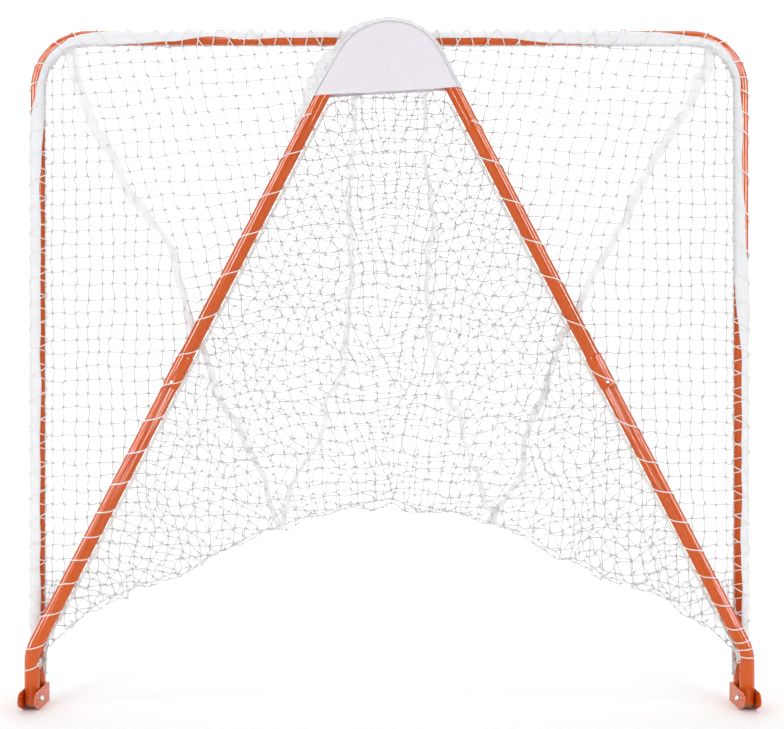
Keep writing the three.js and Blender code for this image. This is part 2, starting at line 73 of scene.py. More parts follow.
KINK_STEPS = 16
APEX_BEND = 135.0
APEX_STEPS = 32
SLEEVE_X = 700.0
GAP = 0.3
JOINT_HEIGHT = 895.0
SOCKET_RADIUS = 21.2
SOCKET_BORE = 19.75
SOCKET_ABOVE = 30.0
SOCKET_BELOW = 60.0
SOCKET_SIDES = 48
BUTTON_BELOW = 47.0
PIVOT_HEIGHT = 28.0
PLATE = dict(thick=3.0, height=52.0, front=28.0, rear=108.0, corner=12.0, end=19.0, heel=62.0)
# Index holes of the bracket: distance from the pivot, and degrees above level
INDEX_HOLES = [(42, -8), (42, 6), (42, 20), (30, -14), (30, 4), (30, 22), (22, 50)]
INDEX_HOLE = 3.0
# Cells of the net: the front layer, its side panels across, and the rear layer; TWINE is a radius
MESH = 36.0
SIDE_MESH = 32
REAR_MESH = 29.0
TWINE = 1.6
BORDER_TWINE = 1.7
CORNER_TWINE = 1.4
FORWARD = np.array([0.0, 1.0, 0.0])


def middle_y(node):
    low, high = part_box(node)
    return (low.y + high.y) / 2 / MM


post_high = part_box("right_post")[1]
POST_X = post_high.x / MM - TUBE
POST_Y = post_high.y / MM - TUBE
BAR_Z = post_high.z / MM - TUBE
leg_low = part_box("right_leg")[0]
LEG_Y = leg_low.y / MM + TUBE
LEG_FOOT = leg_low.z / MM
APEX_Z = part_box("apex_bow")[1].z / MM - TUBE
FRONT_NET_Y = middle_y("front_net")
REAR_NET_Y = middle_y("rear_net")
HOOD_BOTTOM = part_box("apex_hood")[0].z / MM
TAPE_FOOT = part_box("left_border_tape")[0].z / MM

reach = APEX_Z - APEX_BEND - KINK_HEIGHT
LEAN = math.atan2(POST_X, reach) - math.asin(APEX_BEND / math.hypot(POST_X, reach))
BOW_CORNER = KINK_HEIGHT + POST_X / math.tan(LEAN)


def leg_x(z):
    return POST_X - (z - KINK_HEIGHT) * math.tan(LEAN)


def add_object(name, data):
    made = bpy.data.objects.new(name, data)
    bpy.context.scene.collection.objects.link(made)
    return made


# ---------------------------------------------------------------- camera, in metres
CAMERA_REACH = 3.2005
CAMERA_HEIGHT = 0.899
camera = add_object("camera", bpy.data.cameras.new("camera"))
camera.location = (0, POST_Y * MM - CAMERA_REACH, CAMERA_HEIGHT)
camera.rotation_euler = (math.pi / 2, 0, 0)
camera.data.lens = 55.3
camera.data.sensor_width = 36
camera.data.shift_x = 0.0032
bpy.context.scene.camera = camera


# ---------------------------------------------------------------- mesh building
class Shape:
    """Points and faces of one piece, in millimetres, gathered before they become a mesh."""

    def __init__(self):
        self.points, self.faces, self.uvs, self.keys, self.count = [], [], [], [], 0

    def add(self, points, faces, uvs=None, key=None):
        """Adds faces. A face's key is the place that decides which strip of a hanging piece it joins."""
        points = np.asarray(points, float).reshape(-1, 3)
        faces = np.asarray(faces, int)
        self.points.append(points)
        self.faces.append(faces + self.count)
        self.uvs.append(np.zeros(faces.shape + (2,)) if uvs is None else uvs)
        self.keys.append(points[faces].mean(1) if key is None else key)
        self.count += len(points)

    def build(self, name, keep=None):
        """Makes the object, from all faces or only from those whose keys are kept."""
        points = np.concatenate(self.points) * MM
        faces, uvs = [], []
        for block, uv, key in zip(self.faces, self.uvs, self.keys):
            chosen = slice(None) if keep is None else keep(key)
            faces += block[chosen].tolist()
            uvs.append(uv[chosen].reshape(-1, 2))
        if keep is not None:
            used = np.unique(np.concatenate(faces))
            renumber = np.full(len(points), -1)
            renumber[used] = np.arange(len(used))
            points = points[used]
            faces = [renumber[face].tolist() for face in faces]
        mesh = bpy.data.meshes.new(name)
        mesh.from_pydata(points.tolist(), [], faces)
        layer = mesh.uv_layers.new(name="along")
        layer.data.foreach_set("uv", np.concatenate(uvs).ravel())
        mesh.shade_smooth()
        mesh.update()
        return add_object(name, mesh)


def unit(v):
    return v / np.maximum(np.linalg.norm(v, axis=-1, keepdims=True), 1e-9)


def distances(line):
    """The distance along a line at each of its points."""
    return np.concatenate([[0], np.cumsum(np.linalg.norm(np.diff(line, axis=0), axis=1))])


def sampled(line, at, lengths):
    """Points of a line at given distances along it."""
    return np.stack([np.interp(at, lengths, values) for values in line.T], -1)


def spaced(line, step, least=2):
    """Even distances along a line about a step apart, and its points there."""
    lengths = distances(line)
    at = np.linspace(0, lengths[-1], max(least, int(lengths[-1] / step)))
    return at, sampled(line, at, lengths)


def side_frames(line):
    """Two directions across each point of lines (..., n, 3) that never run along Y."""
    along = unit(np.gradient(line, axis=-2))
    across = unit(np.cross(along, FORWARD))
    return across, np.cross(across, along)


def carried_frames(line):
    """Two directions across each point of one line, carried along it without twist."""
    along = unit(np.gradient(line, axis=0))
    aside = np.cross(along[0], [0.3, 0.9, 0.2])
    across = [aside / np.linalg.norm(aside)]
    for t in along[1:]:
        v = across[-1] - t * np.dot(across[-1], t)
        across.append(v / np.linalg.norm(v))
    across = np.array(across)
    return across, np.cross(along, across)


def quads(rows, sides, closed=True):
    """Faces between rings of points, and the row and column of each."""
    row, column = np.meshgrid(np.arange(rows - 1), np.arange(sides if closed else sides - 1), indexing="ij")
    here, up = row * sides, (row + 1) * sides
    beside = (column + 1) % sides
    corners = [here + column, here + beside, up + beside, up + column]
    return np.stack(corners, -1).reshape(-1, 4), row, column


def face_uvs(u0, u1, v0, v1):
    """Corner coordinates of faces that reach from u0 to u1 and from v0 to v1."""
    return np.stack([np.stack(pair, -1) for pair in ((u0, v0), (u0, v1), (u1, v1), (u1, v0))], -2)


def loft(shape, rings, closed=True, caps=True):
    """Adds the faces between rings (n, m, 3) of a sweep, with its ends closed if asked."""
    faces, row, column = quads(*rings.shape[:2], closed)
    lengths = distances(rings.mean(1))
    last = column.max() + 1
    uvs = face_uvs(lengths[row], lengths[row + 1], column / last, (column + 1) / last)
    shape.add(rings.reshape(-1, 3), faces, uvs.reshape(-1, 4, 2))
    if caps:
        base = np.arange(rings.shape[1])
        shape.add(rings[0], [base[::-1]])
        shape.add(rings[-1], [base])
    return shape


def circle_rings(line, across, over, radius, sides):
    angle = (2 * np.pi * np.arange(sides) / sides)[None, :, None]
    radius = np.broadcast_to(radius, (len(line),))[:, None, None]
    return line[:, None] + radius * (np.cos(angle) * across[:, None] + np.sin(angle) * over[:, None])


def round_path(corners, radius, steps):
    """Straight runs joined by round bends."""
    corners = [np.array(c, float) for c in corners]
    points = [corners[0]]
    for before, corner, after in zip(corners, corners[1:], corners[2:]):
        a, b = unit(corner - before), unit(after - corner)
        turn = math.acos(np.clip(a @ b, -1, 1))
        inward = unit(b - a * math.cos(turn))
        centre = corner - a * radius * math.tan(turn / 2) + inward * radius
        for angle in np.linspace(0, turn, steps + 1):
            points.append(centre - inward * radius * math.cos(angle) + a * radius * math.sin(angle))
    points.append(corners[-1])
    return np.array(points)


class Spine:
    """A path that can be asked for its point and direction at any distance along it."""

    def __init__(self, points, step=3):
        dense = []
        for a, b in zip(points, points[1:]):
            count = max(1, int(np.linalg.norm(b - a) / step))
            dense += [a + (b - a) * k / count for k in range(count)]
        self.points = np.array(dense + [points[-1]])
        self.s = distances(self.points)
        self.length = self.s[-1]
        self.tangents = unit(np.gradient(self.points, axis=0))

    def at(self, s):
        return sampled(self.points, s, self.s), unit(sampled(self.tangents, s, self.s))


def hollow_tube(points):
    """A length of tube with its bore and its rounded end edges."""
    a, b = unit(points[1] - points[0]), unit(points[-1] - points[-2])
    start, stop = points[:1] + a * TUBE_CHAMFER, points[-1:] - b * TUBE_CHAMFER
    line = np.vstack([points[:1], start, points[1:-1], stop, points[-1:]])
    across, over = side_frames(line)
    outer = np.full(len(line), TUBE)
    outer[0] = outer[-1] = TUBE - TUBE_CHAMFER
    shell = circle_rings(line, across, over, outer, TUBE_SIDES)
    bore = circle_rings(line, across, over, TUBE - WALL, TUBE_SIDES)
    return loft(Shape(), np.concatenate([shell, bore[::-1], shell[:1]]), caps=False)


def cord_line(shape, line, radius, sides=8):
    across, over = carried_frames(line)
    loft(shape, circle_rings(line, across, over, radius, sides))


def stranded(shape, line, radius, pitch, strands=3):
    """A laid rope: strands that wind round the line."""
    at, dense = spaced(line, pitch / 9)
    across, over = carried_frames(dense)
    strand = radius * 0.52
    for n in range(strands):
        angle = (2 * np.pi * (at / pitch + n / strands))[:, None]
        wound = (radius - strand) * (np.cos(angle) * across + np.sin(angle) * over)
        cord_line(shape, dense + wound, strand, 7)


def turned(profile, sides=48):
    """A turned or many-sided piece about Z: radius and height may be functions of the angle."""
    angle = 2 * np.pi * np.arange(sides) / sides
    rings = []
    for radius, height in profile:
        r = radius(angle) if callable(radius) else np.full(sides, float(radius))
        h = height(angle) if callable(height) else np.full(sides, float(height))
        rings.append(np.stack([r * np.cos(angle), r * np.sin(angle), h], -1))
    return loft(Shape(), np.array(rings))


def placed(shape, centre, axis):
    """Turns a piece built about Z so that Z runs along axis, and moves it to centre."""
    turn = np.array(Vector((0, 0, 1)).rotation_difference(Vector(axis)).to_matrix())
    shape.points = [p @ turn.T + np.array(centre, float) for p in shape.points]
    return shape


def hexagon(across_flats):
    """The radius of a hexagon at each angle."""
    return lambda angle: across_flats / 2 / np.cos((angle + np.pi / 6) % (np.pi / 3) - np.pi / 6)


def waves(x, z, seed, length):
    """Smooth wandering numbers between about -1 and 1: seven sine waves of about one length."""
    rng = np.random.default_rng(seed)
    total = np.zeros(np.broadcast(x, z).shape)
    for _ in range(7):
        heading, phase = rng.uniform(0, 2 * np.pi, 2)
        size = length * rng.uniform(0.6, 1.7)
        total = total + np.sin(2 * np.pi * (x * math.cos(heading) + z * math.sin(heading)) / size + phase)
    return total / 2.6


# ---------------------------------------------------------------- materials
MIXED_COLOR = 2


class Look:
    """A procedural material. Its plain colour and roughness are what an export without nodes shows."""

    def __init__(self, name, color, roughness, settings=None):
        self.material = bpy.data.materials.new(name)
        self.material.use_nodes = True
        self.tree = self.material.node_tree
        self.shader = self.tree.nodes["Principled BSDF"]
        self.fill(self.shader, {"Base Color": (*color, 1), "Roughness": roughness, **(settings or {})})

    def fill(self, node, inputs):
        """Sets each input to a value, or links it when it is given the output of another node."""
        for key, value in inputs.items():
            if isinstance(value, bpy.types.NodeSocket):
                self.tree.links.new(value, node.inputs[key])
            else:
                node.inputs[key].default_value = value

    def node(self, kind, output, inputs, **properties):
        """Makes a node and gives back one of its outputs."""
        made = self.tree.nodes.new(kind)
        for key, value in properties.items():
            setattr(made, key, value)
        self.fill(made, inputs)
        return made.outputs[output]

    def calc(self, operation, *values):
        return self.node("ShaderNodeMath", "Value", dict(enumerate(values)), operation=operation)

    def axis(self, vector, letter):
        return self.node("ShaderNodeSeparateXYZ", letter, {"Vector": vector})

    def place(self):
        return self.node("ShaderNodeTexCoord", "Object", {})

    def cord(self, letter):
        """X is the distance along a cord and Y the share of the way round it."""
        return self.axis(self.node("ShaderNodeUVMap", "UV", {}, uv_map="along"), letter)

    def noise(self, scale, detail=3.0):
        inputs = {"Vector": self.place(), "Scale": scale, "Detail": detail}
        return self.node("ShaderNodeTexNoise", "Fac", inputs)

    def mix(self, factor, a, b):
        inputs = {"Factor": factor, "A": (*a, 1), "B": (*b, 1)}
        return self.node("ShaderNodeMix", MIXED_COLOR, inputs, data_type="RGBA")

    def spread(self, value, low, high, start=0.3, end=0.7):
        inputs = {"Value": value, "From Min": start, "From Max": end, "To Min": low, "To Max": high}
        return self.node("ShaderNodeMapRange", "Result", inputs)

    def winding(self, pitch, turns):
        """A wave that winds along a cord."""
        run = self.calc("MULTIPLY", self.cord("X"), 2 * math.pi / pitch)
        return self.calc("SINE", self.calc("MULTIPLY_ADD", self.cord("Y"), 2 * math.pi * turns, run))

    def done(self, height, strength, distance, **inputs):
        """Links colour and roughness if given, adds the bump, and gives back the material."""
        bump = {"Height": height, "Strength": strength, "Distance": distance}
        named = {name.replace("_", " ").title(): value for name, value in inputs.items()}
        self.fill(self.shader, {**named, "Normal": self.node("ShaderNodeBump", "Normal", bump)})
        return self.material


def paint():
    """Glossy orange enamel, a little darker in places, with a faint orange-peel surface."""
    gloss = {"Specular IOR Level": 0.06, "Coat Weight": 0.5, "Coat Roughness": 0.05, "Coat IOR": 1.55}
    look = Look("orange_paint", (0.78, 0.12, 0.008), 0.26, gloss)
    color = look.mix(look.noise(5.0), (0.68, 0.108, 0.007), (0.57, 0.078, 0.005))
    roughness = look.spread(look.noise(60.0), 0.22, 0.32)
    return look.done(look.noise(420.0, 1.0), 0.04, 0.0001, base_color=color, roughness=roughness)


def steel():
    """Zinc-plated steel with a cloudy grain."""
    look = Look("zinc_steel", (0.6, 0.61, 0.63), 0.3, {"Metallic": 0.95})
    color = look.mix(look.noise(220.0), (0.5, 0.51, 0.53), (0.72, 0.73, 0.74))
    grain = look.noise(1500.0)
    roughness = look.spread(grain, 0.22, 0.45)
    return look.done(grain, 0.15, 0.0002, base_color=color, roughness=roughness)


def cord_material(name, color, shade, pitch, turns, depth):
    """Braided cord: strands that wind both ways, with a soft blotch of dirt."""
    soft = {"Sheen Weight": 0.25, "Subsurface Weight": 0.12, "Subsurface Scale": 0.002}
    look = Look(name, color, 0.75, soft)
    braid = look.calc("MULTIPLY", look.winding(pitch, turns), look.winding(pitch, -turns))
    return look.done(braid, 0.6, depth, base_color=look.mix(look.noise(25.0), color, shade))


def net_material():
    """Knotted twine: white along the strand, greyer by the knots, partly for dirt there and partly as painted
    shadow.
    """
    look = Look("net_cord", (0.9, 0.9, 0.9), 0.8, {"Sheen Weight": 0.1, "Specular IOR Level": 0.1})
    # Painted shadow and dirt: the twine darkens towards each knot, and the knots themselves take the darkest
    # grey.
    from_middle = look.calc("ABSOLUTE", look.calc("SUBTRACT", look.cord("X"), MESH / 2))
    near_knot = look.spread(from_middle, 0.0, 1.0, MESH / 2 - 8, MESH / 2 - 2)
    color = look.mix(near_knot, (0.78, 0.78, 0.79), (0.55, 0.55, 0.56))
    return look.done(look.winding(4.0, 2), 0.5, 0.0003, base_color=color)


def cloth_material(name, color, shade, thread, depth, alpha=1.0):
    """Plain-woven cloth: over and under threads from crossed waves, with a soft blotch of shade."""
    look = Look(name, color, 0.7, {
        "Sheen Weight": 0.35, "Sheen Roughness": 0.4, "Subsurface Weight": 0.1, "Subsurface Scale": 0.003,
        "Specular IOR Level": 0.15, "Alpha": alpha,
    })
    place = look.place()
    threads = []
    for letter in "XZ":
        run = look.calc("MULTIPLY", look.axis(place, letter), 2 * math.pi / thread)
        threads.append(look.calc("SINE", run))
    weave = look.calc("MULTIPLY", *threads)
    return look.done(weave, 0.35, depth, base_color=look.mix(look.noise(9.0), color, shade))


def gauze_material():
    """Thin crinkled see-through cloth with cloudy patches."""
    look = Look("white_gauze", (0.9, 0.9, 0.92), 0.45, {"Alpha": 0.7, "Sheen Weight": 0.3})
    mottle = look.noise(130.0, 4.0)
    color = look.mix(look.spread(mottle, 0.0, 1.0), (0.97, 0.97, 0.98), (0.74, 0.74, 0.77))
    return look.done(mottle, 0.8, 0.0015, base_color=color)


# Each finish is a material and the slot it stands in
ORANGE = (paint(), "orange_paint")
ZINC = (steel(), "zinc_steel")
LACE = (cord_material("white_cord", (0.9, 0.89, 0.86), (0.82, 0.8, 0.77), 5.0, 2, 0.0003), "white_cord")
NET = (net_material(), "net_cord")
TAPE, HOOD, SEAM, GAUZE = ((material, "white_cloth") for material in (
    cloth_material("white_tape", (0.92, 0.91, 0.93), (0.86, 0.85, 0.88), 0.0016, 0.0003),
    cloth_material("white_cloth", (0.87, 0.83, 0.88), (0.83, 0.79, 0.85), 0.0012, 0.0002),
    cloth_material("white_seam", (0.9, 0.9, 0.91), (0.84, 0.84, 0.86), 0.0016, 0.0003, 0.5),
    gauze_material(),
))


def finished(obj, finish):
    material, slot = finish
    obj.data.materials.append(material)
    return obj


def mounted(obj, finish, body, *nodes):
    """Finishes a piece, lets it ride on a body and hides the CAD nodes that it stands for."""
    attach(finished(obj, finish), body)
    if nodes:
        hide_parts(*nodes)
    return obj


def rigid(shape, name, finish, body, *nodes):
    return mounted(shape.build(name), finish, body, *nodes)


def evaluated_mesh(obj):
    bpy.context.view_layer.update()
    return bpy.data.meshes.new_from_object(obj.evaluated_get(bpy.context.evaluated_depsgraph_get()))


def drill(obj, centre, radius, length):
    """Cuts a round hole along Y through a piece."""
    rod = turned([(radius, -length / 2), (radius, length / 2)], 32)
    cutter = placed(rod, centre, FORWARD).build("cutter")
    cut = obj.modifiers.new("hole", "BOOLEAN")
    cut.object = cutter
    cut.solver = "EXACT"
    cut.operation = "DIFFERENCE"
    made = evaluated_mesh(obj)
    obj.modifiers.clear()
    obj.data = made
    bpy.data.objects.remove(cutter)


slot_materials = {slot: material for material, slot in (ORANGE, ZINC, LACE, TAPE, NET)}
for entry in frame["record"]["subparts"]:
    mesh = frame["nodes"][entry["node"]].data
    mesh.materials.clear()
    mesh.materials.append(slot_materials[entry["material_slot"]])

SIDES = (("left", -1), ("right", 1))


# ---------------------------------------------------------------- mouth frame
def post_corners(side):
    path = [(POST_X, 0), (POST_X, BAR_Z), (SLEEVE_X + GAP / 2, BAR_Z)]
    return [(side * x, POST_Y, z) for x, z in path]


for word, side in SIDES:
    tube = hollow_tube(round_path(post_corners(side), BEND, BEND_STEPS))
    rigid(tube, f"{word}_post_tube", ORANGE, "front_frame", f"{word}_post")
bar = np.array([(-SLEEVE_X + GAP / 2, POST_Y, BAR_Z), (SLEEVE_X - GAP / 2, POST_Y, BAR_Z)])
rigid(hollow_tube(bar), "crossbar_tube", ORANGE, "front_frame", "crossbar")


# ---------------------------------------------------------------- V base
BUTTON_RADIUS = 3.7
BUTTON_HOLE = 4.1
FLANGE = TUBE - WALL - 1.3
FLANGE_RADIUS = 5.5
FLANGE_THICK = 1.2
DOME = SOCKET_RADIUS + 2.6
DOME_RISE = 2.2
LEAF_THICK = 0.9
LEAF_HALF_WIDTH = 4.0
AXIS_RADIUS = 0.02
# The spring's two arms: distance up the leg from the button, and out from the leg's centre line
NEAR_ARM = [(7, FLANGE - FLANGE_THICK - GAP - LEAF_THICK / 2), (-42, 0.9)]
FAR_ARM = [(-42, 0.9), (-43.6, 0.75), (-44.1, 0.3), (-43.4, -0.15), (-41.5, -0.6), (7, -13.5)]
NEAR_ARM_BENDS = (-42, -5.5)
LACED_TO = 1640


def leg_corners(side):
    return [
        (side * POST_X, LEG_Y, LEG_FOOT),
        (side * POST_X, LEG_Y, KINK_HEIGHT),
        (side * leg_x(JOINT_HEIGHT), LEG_Y, JOINT_HEIGHT - GAP),
    ]


def leg_socket(joint, up):
    """The ring round the joint of leg and bow, with turned edges."""
    profile = np.array([
        (-SOCKET_BELOW, SOCKET_RADIUS - 0.9), (-SOCKET_BELOW + 1.2, SOCKET_RADIUS - 0.1),
        (-SOCKET_BELOW + 3, SOCKET_RADIUS), (SOCKET_ABOVE - 6, SOCKET_RADIUS),
        (SOCKET_ABOVE - 1, SOCKET_RADIUS - 0.6), (SOCKET_ABOVE, SOCKET_BORE + 0.2),
    ])
    line = joint + profile[:, :1] * up
    across, over = side_frames(line)
    outside = circle_rings(line, across, over, profile[:, 1], SOCKET_SIDES)
    bore = circle_rings(line, across, over, SOCKET_BORE, SOCKET_SIDES)
    return loft(Shape(), np.concatenate([outside, bore[::-1], outside[:1]]), caps=False)


def snap_button():
    """A button about Z: a flange inside the tube, a stem through the holes and a domed end."""
    inner, shoulder = FLANGE - FLANGE_THICK, DOME - DOME_RISE
    profile = [(AXIS_RADIUS, inner), (FLANGE_RADIUS, inner), (FLANGE_RADIUS, FLANGE), (BUTTON_RADIUS, FLANGE)]
    profile.append((BUTTON_RADIUS, shoulder))
    for a in np.linspace(0.25, 1.5, 6):
        profile.append((BUTTON_RADIUS * math.cos(a), shoulder + DOME_RISE * math.sin(a)))
    return turned(profile + [(AXIS_RADIUS, DOME)], 32)


def leaf_arm(button, up, run):
    """A strip of spring steel through points given along the leg and out from its centre line."""
    at = np.linspace(0, len(run) - 1, 5 * (len(run) - 1) + 4)
    along, out = (values[:, None] for values in sampled(np.array(run, float), at, np.arange(len(run))).T)
    line = button + along * up - out * FORWARD
    across = np.cross(up, -FORWARD)
    thick = np.cross(unit(np.gradient(line, axis=0)), across)
    corners = [(1, 0.6), (0.94, 1), (-0.94, 1), (-1, 0.6), (-1, -0.6), (-0.94, -1), (0.94, -1), (1, -0.6)]
    rings = [line + across * LEAF_HALF_WIDTH * a + thick * LEAF_THICK / 2 * b for a, b in corners]
    return loft(Shape(), np.stack(rings, 1))


bow_end = leg_x(JOINT_HEIGHT)
bow_corners = [(-bow_end, LEG_Y, JOINT_HEIGHT), (0, LEG_Y, BOW_CORNER), (bow_end, LEG_Y, JOINT_HEIGHT)]
bow = hollow_tube(round_path(bow_corners, APEX_BEND, APEX_STEPS))
rigid(bow, "bow_tube", ORANGE, "v_base", "apex_bow")
leg_spines = {}
for word, side in SIDES:
    up = np.array([-side * math.sin(LEAN), 0, math.cos(LEAN)])
    joint = np.array([side * leg_x(JOINT_HEIGHT), LEG_Y, JOINT_HEIGHT])
    button = joint - up * BUTTON_BELOW
    tube = hollow_tube(round_path(leg_corners(side), KINK_BEND, KINK_STEPS))
    leg = rigid(tube, f"{word}_leg_tube", ORANGE, "v_base", f"{word}_leg")
    drill(leg, button - TUBE * FORWARD, BUTTON_HOLE, 16)
    socket = rigid(leg_socket(joint, up), f"{word}_socket_ring", ORANGE, "v_base", f"{word}_leg_socket")
    drill(socket, button - TUBE * FORWARD, BUTTON_HOLE, 16)
    body = f"{word}_button"
    rigid(placed(snap_button(), button, -FORWARD), body, ZINC, body, f"{word}_snap_button")
    arm = finished(leaf_arm(button, up, NEAR_ARM).build(f"{word}_spring_near_arm"), ZINC)
    start, end = (tuple((button + up * h) * MM) for h in NEAR_ARM_BENDS)
    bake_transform(arm)
    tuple(start)
    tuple(end)
    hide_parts(f"{word}_button_spring")
    rigid(leaf_arm(button, up, FAR_ARM), f"{word}_spring_far_arm", ZINC, "v_base", f"{word}_button_spring")
    path = [(POST_X, PIVOT_HEIGHT), (POST_X, KINK_HEIGHT), (leg_x(LACED_TO), LACED_TO)]
    leg_spines[word] = Spine(round_path([(side * x, LEG_Y, z) for x, z in path], KINK_BEND, KINK_STEPS))


# ---------------------------------------------------------------- brackets and fasteners
BOLT_HOLE = 4.3
BOLT_RADIUS = 4
BOLT_KEY = 5
HEAD_HEIGHT = 4.4
NUT_FLATS = 13
NUT_HEIGHT = 6.5
BOLT_PROUD = 2.5
WASHER_THICK = 1.6
BEVEL = 0.45
plate_at = TUBE + GAP
washer_at = plate_at + PLATE["thick"] + GAP
head_at = washer_at + WASHER_THICK + GAP


def arc_points(y, z, radius, angles):
    return [(y + radius * math.cos(a), z + radius * math.sin(a)) for a in angles]


def plate_outline():
    """The plate's edge in Y and Z: a round front corner, a round rear end and a sloping heel."""
    front, height, corner, end, heel = (PLATE[name] for name in ("front", "height", "corner", "end", "heel"))
    end_y, end_z = end - PLATE["rear"], height - end
    heel_y, heel_z = -heel - end_y, -end_z
    stop = 2 * math.pi + math.atan2(heel_z, heel_y) - math.acos(end / math.hypot(heel_y, heel_z))
    front_corner = arc_points(front - corner, height - corner, corner, np.linspace(0, math.pi / 2, 9))
    rear_end = arc_points(end_y, end_z, end, np.linspace(math.pi / 2, stop, 25))
    return [(front, 0)] + front_corner + rear_end + [(-heel, 0)]


def plate_rims():
    """The edges of the bolt hole and of the index holes."""
    pivot_y = LEG_Y - POST_Y
    holes = [(pivot_y, PIVOT_HEIGHT, BOLT_HOLE)]
    for distance, degrees in INDEX_HOLES:
        a = math.radians(degrees)
        holes.append((pivot_y - distance * math.cos(a), PIVOT_HEIGHT + distance * math.sin(a), INDEX_HOLE))
    return [arc_points(*hole, np.linspace(0, 2 * np.pi, 24, endpoint=False)) for hole in holes]


def bracket_plate(name, x):
    """A steel plate with broken edges, filled between its outline and its holes."""
    curve = bpy.data.curves.new(name, "CURVE")
    curve.dimensions = "2D"
    curve.fill_mode = "BOTH"
    curve.bevel_depth = BEVEL * MM
    curve.bevel_resolution = 2
    curve.extrude = (PLATE["thick"] / 2 - BEVEL) * MM
    curve.offset = -BEVEL * MM
    for points in [plate_outline()] + plate_rims():
        spline = curve.splines.new("POLY")
        spline.points.add(len(points) - 1)
        spline.use_cyclic_u = True
        for p, (y, z) in zip(spline.points, points):
            p.co = (y * MM, z * MM, 0, 1)
    source = add_object(name, curve)
    mesh = evaluated_mesh(source)
    bpy.data.objects.remove(source)
    mesh.transform(Matrix(((0, 0, 1, x * MM), (1, 0, 0, POST_Y * MM), (0, 1, 0, 0), (0, 0, 0, 1))))
    mesh.materials.clear()
    return add_object(name, mesh)


def nut_profile():
    """A hex nut about Z whose corners are turned down to a round face."""
    face = NUT_FLATS / 2 * 0.97
    flats = hexagon(NUT_FLATS)

    def low(angle):
        return (flats(angle) - face) / 1.73

    def high(angle):
        return NUT_HEIGHT - low(angle)

    bore, mouth, top = 4.05, 4.4, NUT_HEIGHT
    rim = [(face, 0), (flats, low), (flats, high), (face, top)]
    return [(bore, 0.5), (mouth, 0)] + rim + [(mouth, top), (bore, top - 0.5), (bore, 0.5)]


def bolt_profile(length):
    """A button-head bolt, from the bottom of its hex socket over the head to the end of the shank."""
    key = hexagon(BOLT_KEY)
    socket = [(AXIS_RADIUS, -2.4), (hexagon(0.9 * BOLT_KEY), -2.4), (key, -2.2), (key, 0.0)]
    head = [(3.6, 0.0), (5.2, -0.3), (6.5, -1.6), (7, -3.2), (7, -HEAD_HEIGHT)]
    shank = [(BOLT_RADIUS, -HEAD_HEIGHT), (BOLT_RADIUS, -HEAD_HEIGHT - 0.2), (BOLT_RADIUS, -length + 0.6)]
    return socket + head + shank + [(3.4, -length), (AXIS_RADIUS, -length)]


def flat_washer():
    low, high = -WASHER_THICK / 2, WASHER_THICK / 2
    edge = [(7.6, low), (8, low + 0.3), (8, high - 0.3), (7.6, high)]
    return turned([(BOLT_HOLE, low)] + edge + [(BOLT_HOLE, high), (BOLT_HOLE, low)])


def bead(shape, line, seed):
    """A weld bead: a lumpy run along a line."""
    lengths = distances(line)
    at = np.linspace(0, lengths[-1], int(lengths[-1] / 0.9) + 2)
    dense = sampled(line, at, lengths)
    rng = np.random.default_rng(seed)
    radius = 1.7 + 0.35 * np.abs(np.sin(at * 1.3)) + rng.uniform(-0.1, 0.1, len(at))
    radius[0] = radius[-1] = 0.5
    across, over = carried_frames(dense)
    loft(shape, circle_rings(dense, across, over, radius, 9))


def weld_beads(side):
    """The welds of both plates: round the post along their top edge, and up both sides of the contact."""
    welds = Shape()
    for sign in (-1, 1):
        outward = side * sign
        angles = np.linspace(-0.62, 0.62, 15)
        arc_x = side * POST_X + outward * (TUBE + 0.5) * np.cos(angles)
        arc_y = POST_Y + (TUBE + 0.5) * np.sin(angles)
        bead(welds, np.stack([arc_x, arc_y, np.full(15, PLATE["height"] + 0.2)], -1), 11 + sign)
        for y in (-9.5, 9.5):
            x = side * POST_X + outward * (TUBE - 1.2)
            bead(welds, np.array([(x, POST_Y + y, 3), (x, POST_Y + y, PLATE["height"] - 2)]), 5)
    return welds


for word, side in SIDES:
    pivot = np.array([side * POST_X, LEG_Y, PIVOT_HEIGHT])
    for place, outward in (("inner", -side), ("outer", side)):
        x = side * POST_X + outward * (plate_at + PLATE["thick"] / 2)
        plate = bracket_plate(f"{word}_{place}_bracket_plate", x)
        mounted(plate, ORANGE, "front_frame", f"{word}_{place}_plate")
        centre = pivot + np.array([outward * (washer_at + WASHER_THICK / 2), 0, 0])
        washer = placed(flat_washer(), centre, (1, 0, 0))
        rigid(washer, f"{word}_{place}_flat_washer", ZINC, "front_frame", f"{word}_{place}_washer")
    rigid(weld_beads(side), f"{word}_weld_beads", ORANGE, "front_frame")
    head = pivot - np.array([side * (head_at + HEAD_HEIGHT), 0, 0])
    bolt = turned(bolt_profile(2 * head_at + NUT_HEIGHT + BOLT_PROUD + HEAD_HEIGHT), 72)
    rigid(placed(bolt, head, (-side, 0, 0)), f"{word}_hinge_bolt", ZINC, "front_frame", f"{word}_pivot_bolt")
    nut = placed(turned(nut_profile(), 72), pivot + np.array([side * head_at, 0, 0]), (side, 0, 0))
    rigid(nut, f"{word}_hinge_nut", ZINC, "front_frame", f"{word}_pivot_nut")


# ---------------------------------------------------------------- border tape
# Each half of the mouth frame is followed from the middle of the crossbar out and down to the foot.
# The tape wanders round the tube: distances along it, and degrees from its back to the goal's outside
TAPE_TURN = {
    "left": ([0, 120, 330, 480, 560, 700, 760, 810, 870, 980, 1035, 1065, 1110, 1170, 1400, 1700, 2100, 2560],
             [45, 50, 44, 52, 25, 0, -22, -45, -70, -74, -60, -38, 12, 24, 31, 26, 31, 28]),
    "right": ([0, 120, 260, 330, 420, 560, 660, 730, 800, 900, 1100, 1300, 1450, 1520, 1600, 1700, 2100,
               2560],
              [45, 42, 48, 34, 14, -6, -22, -40, -62, -70, -66, -52, -30, -8, 22, 46, 50, 46]),
}
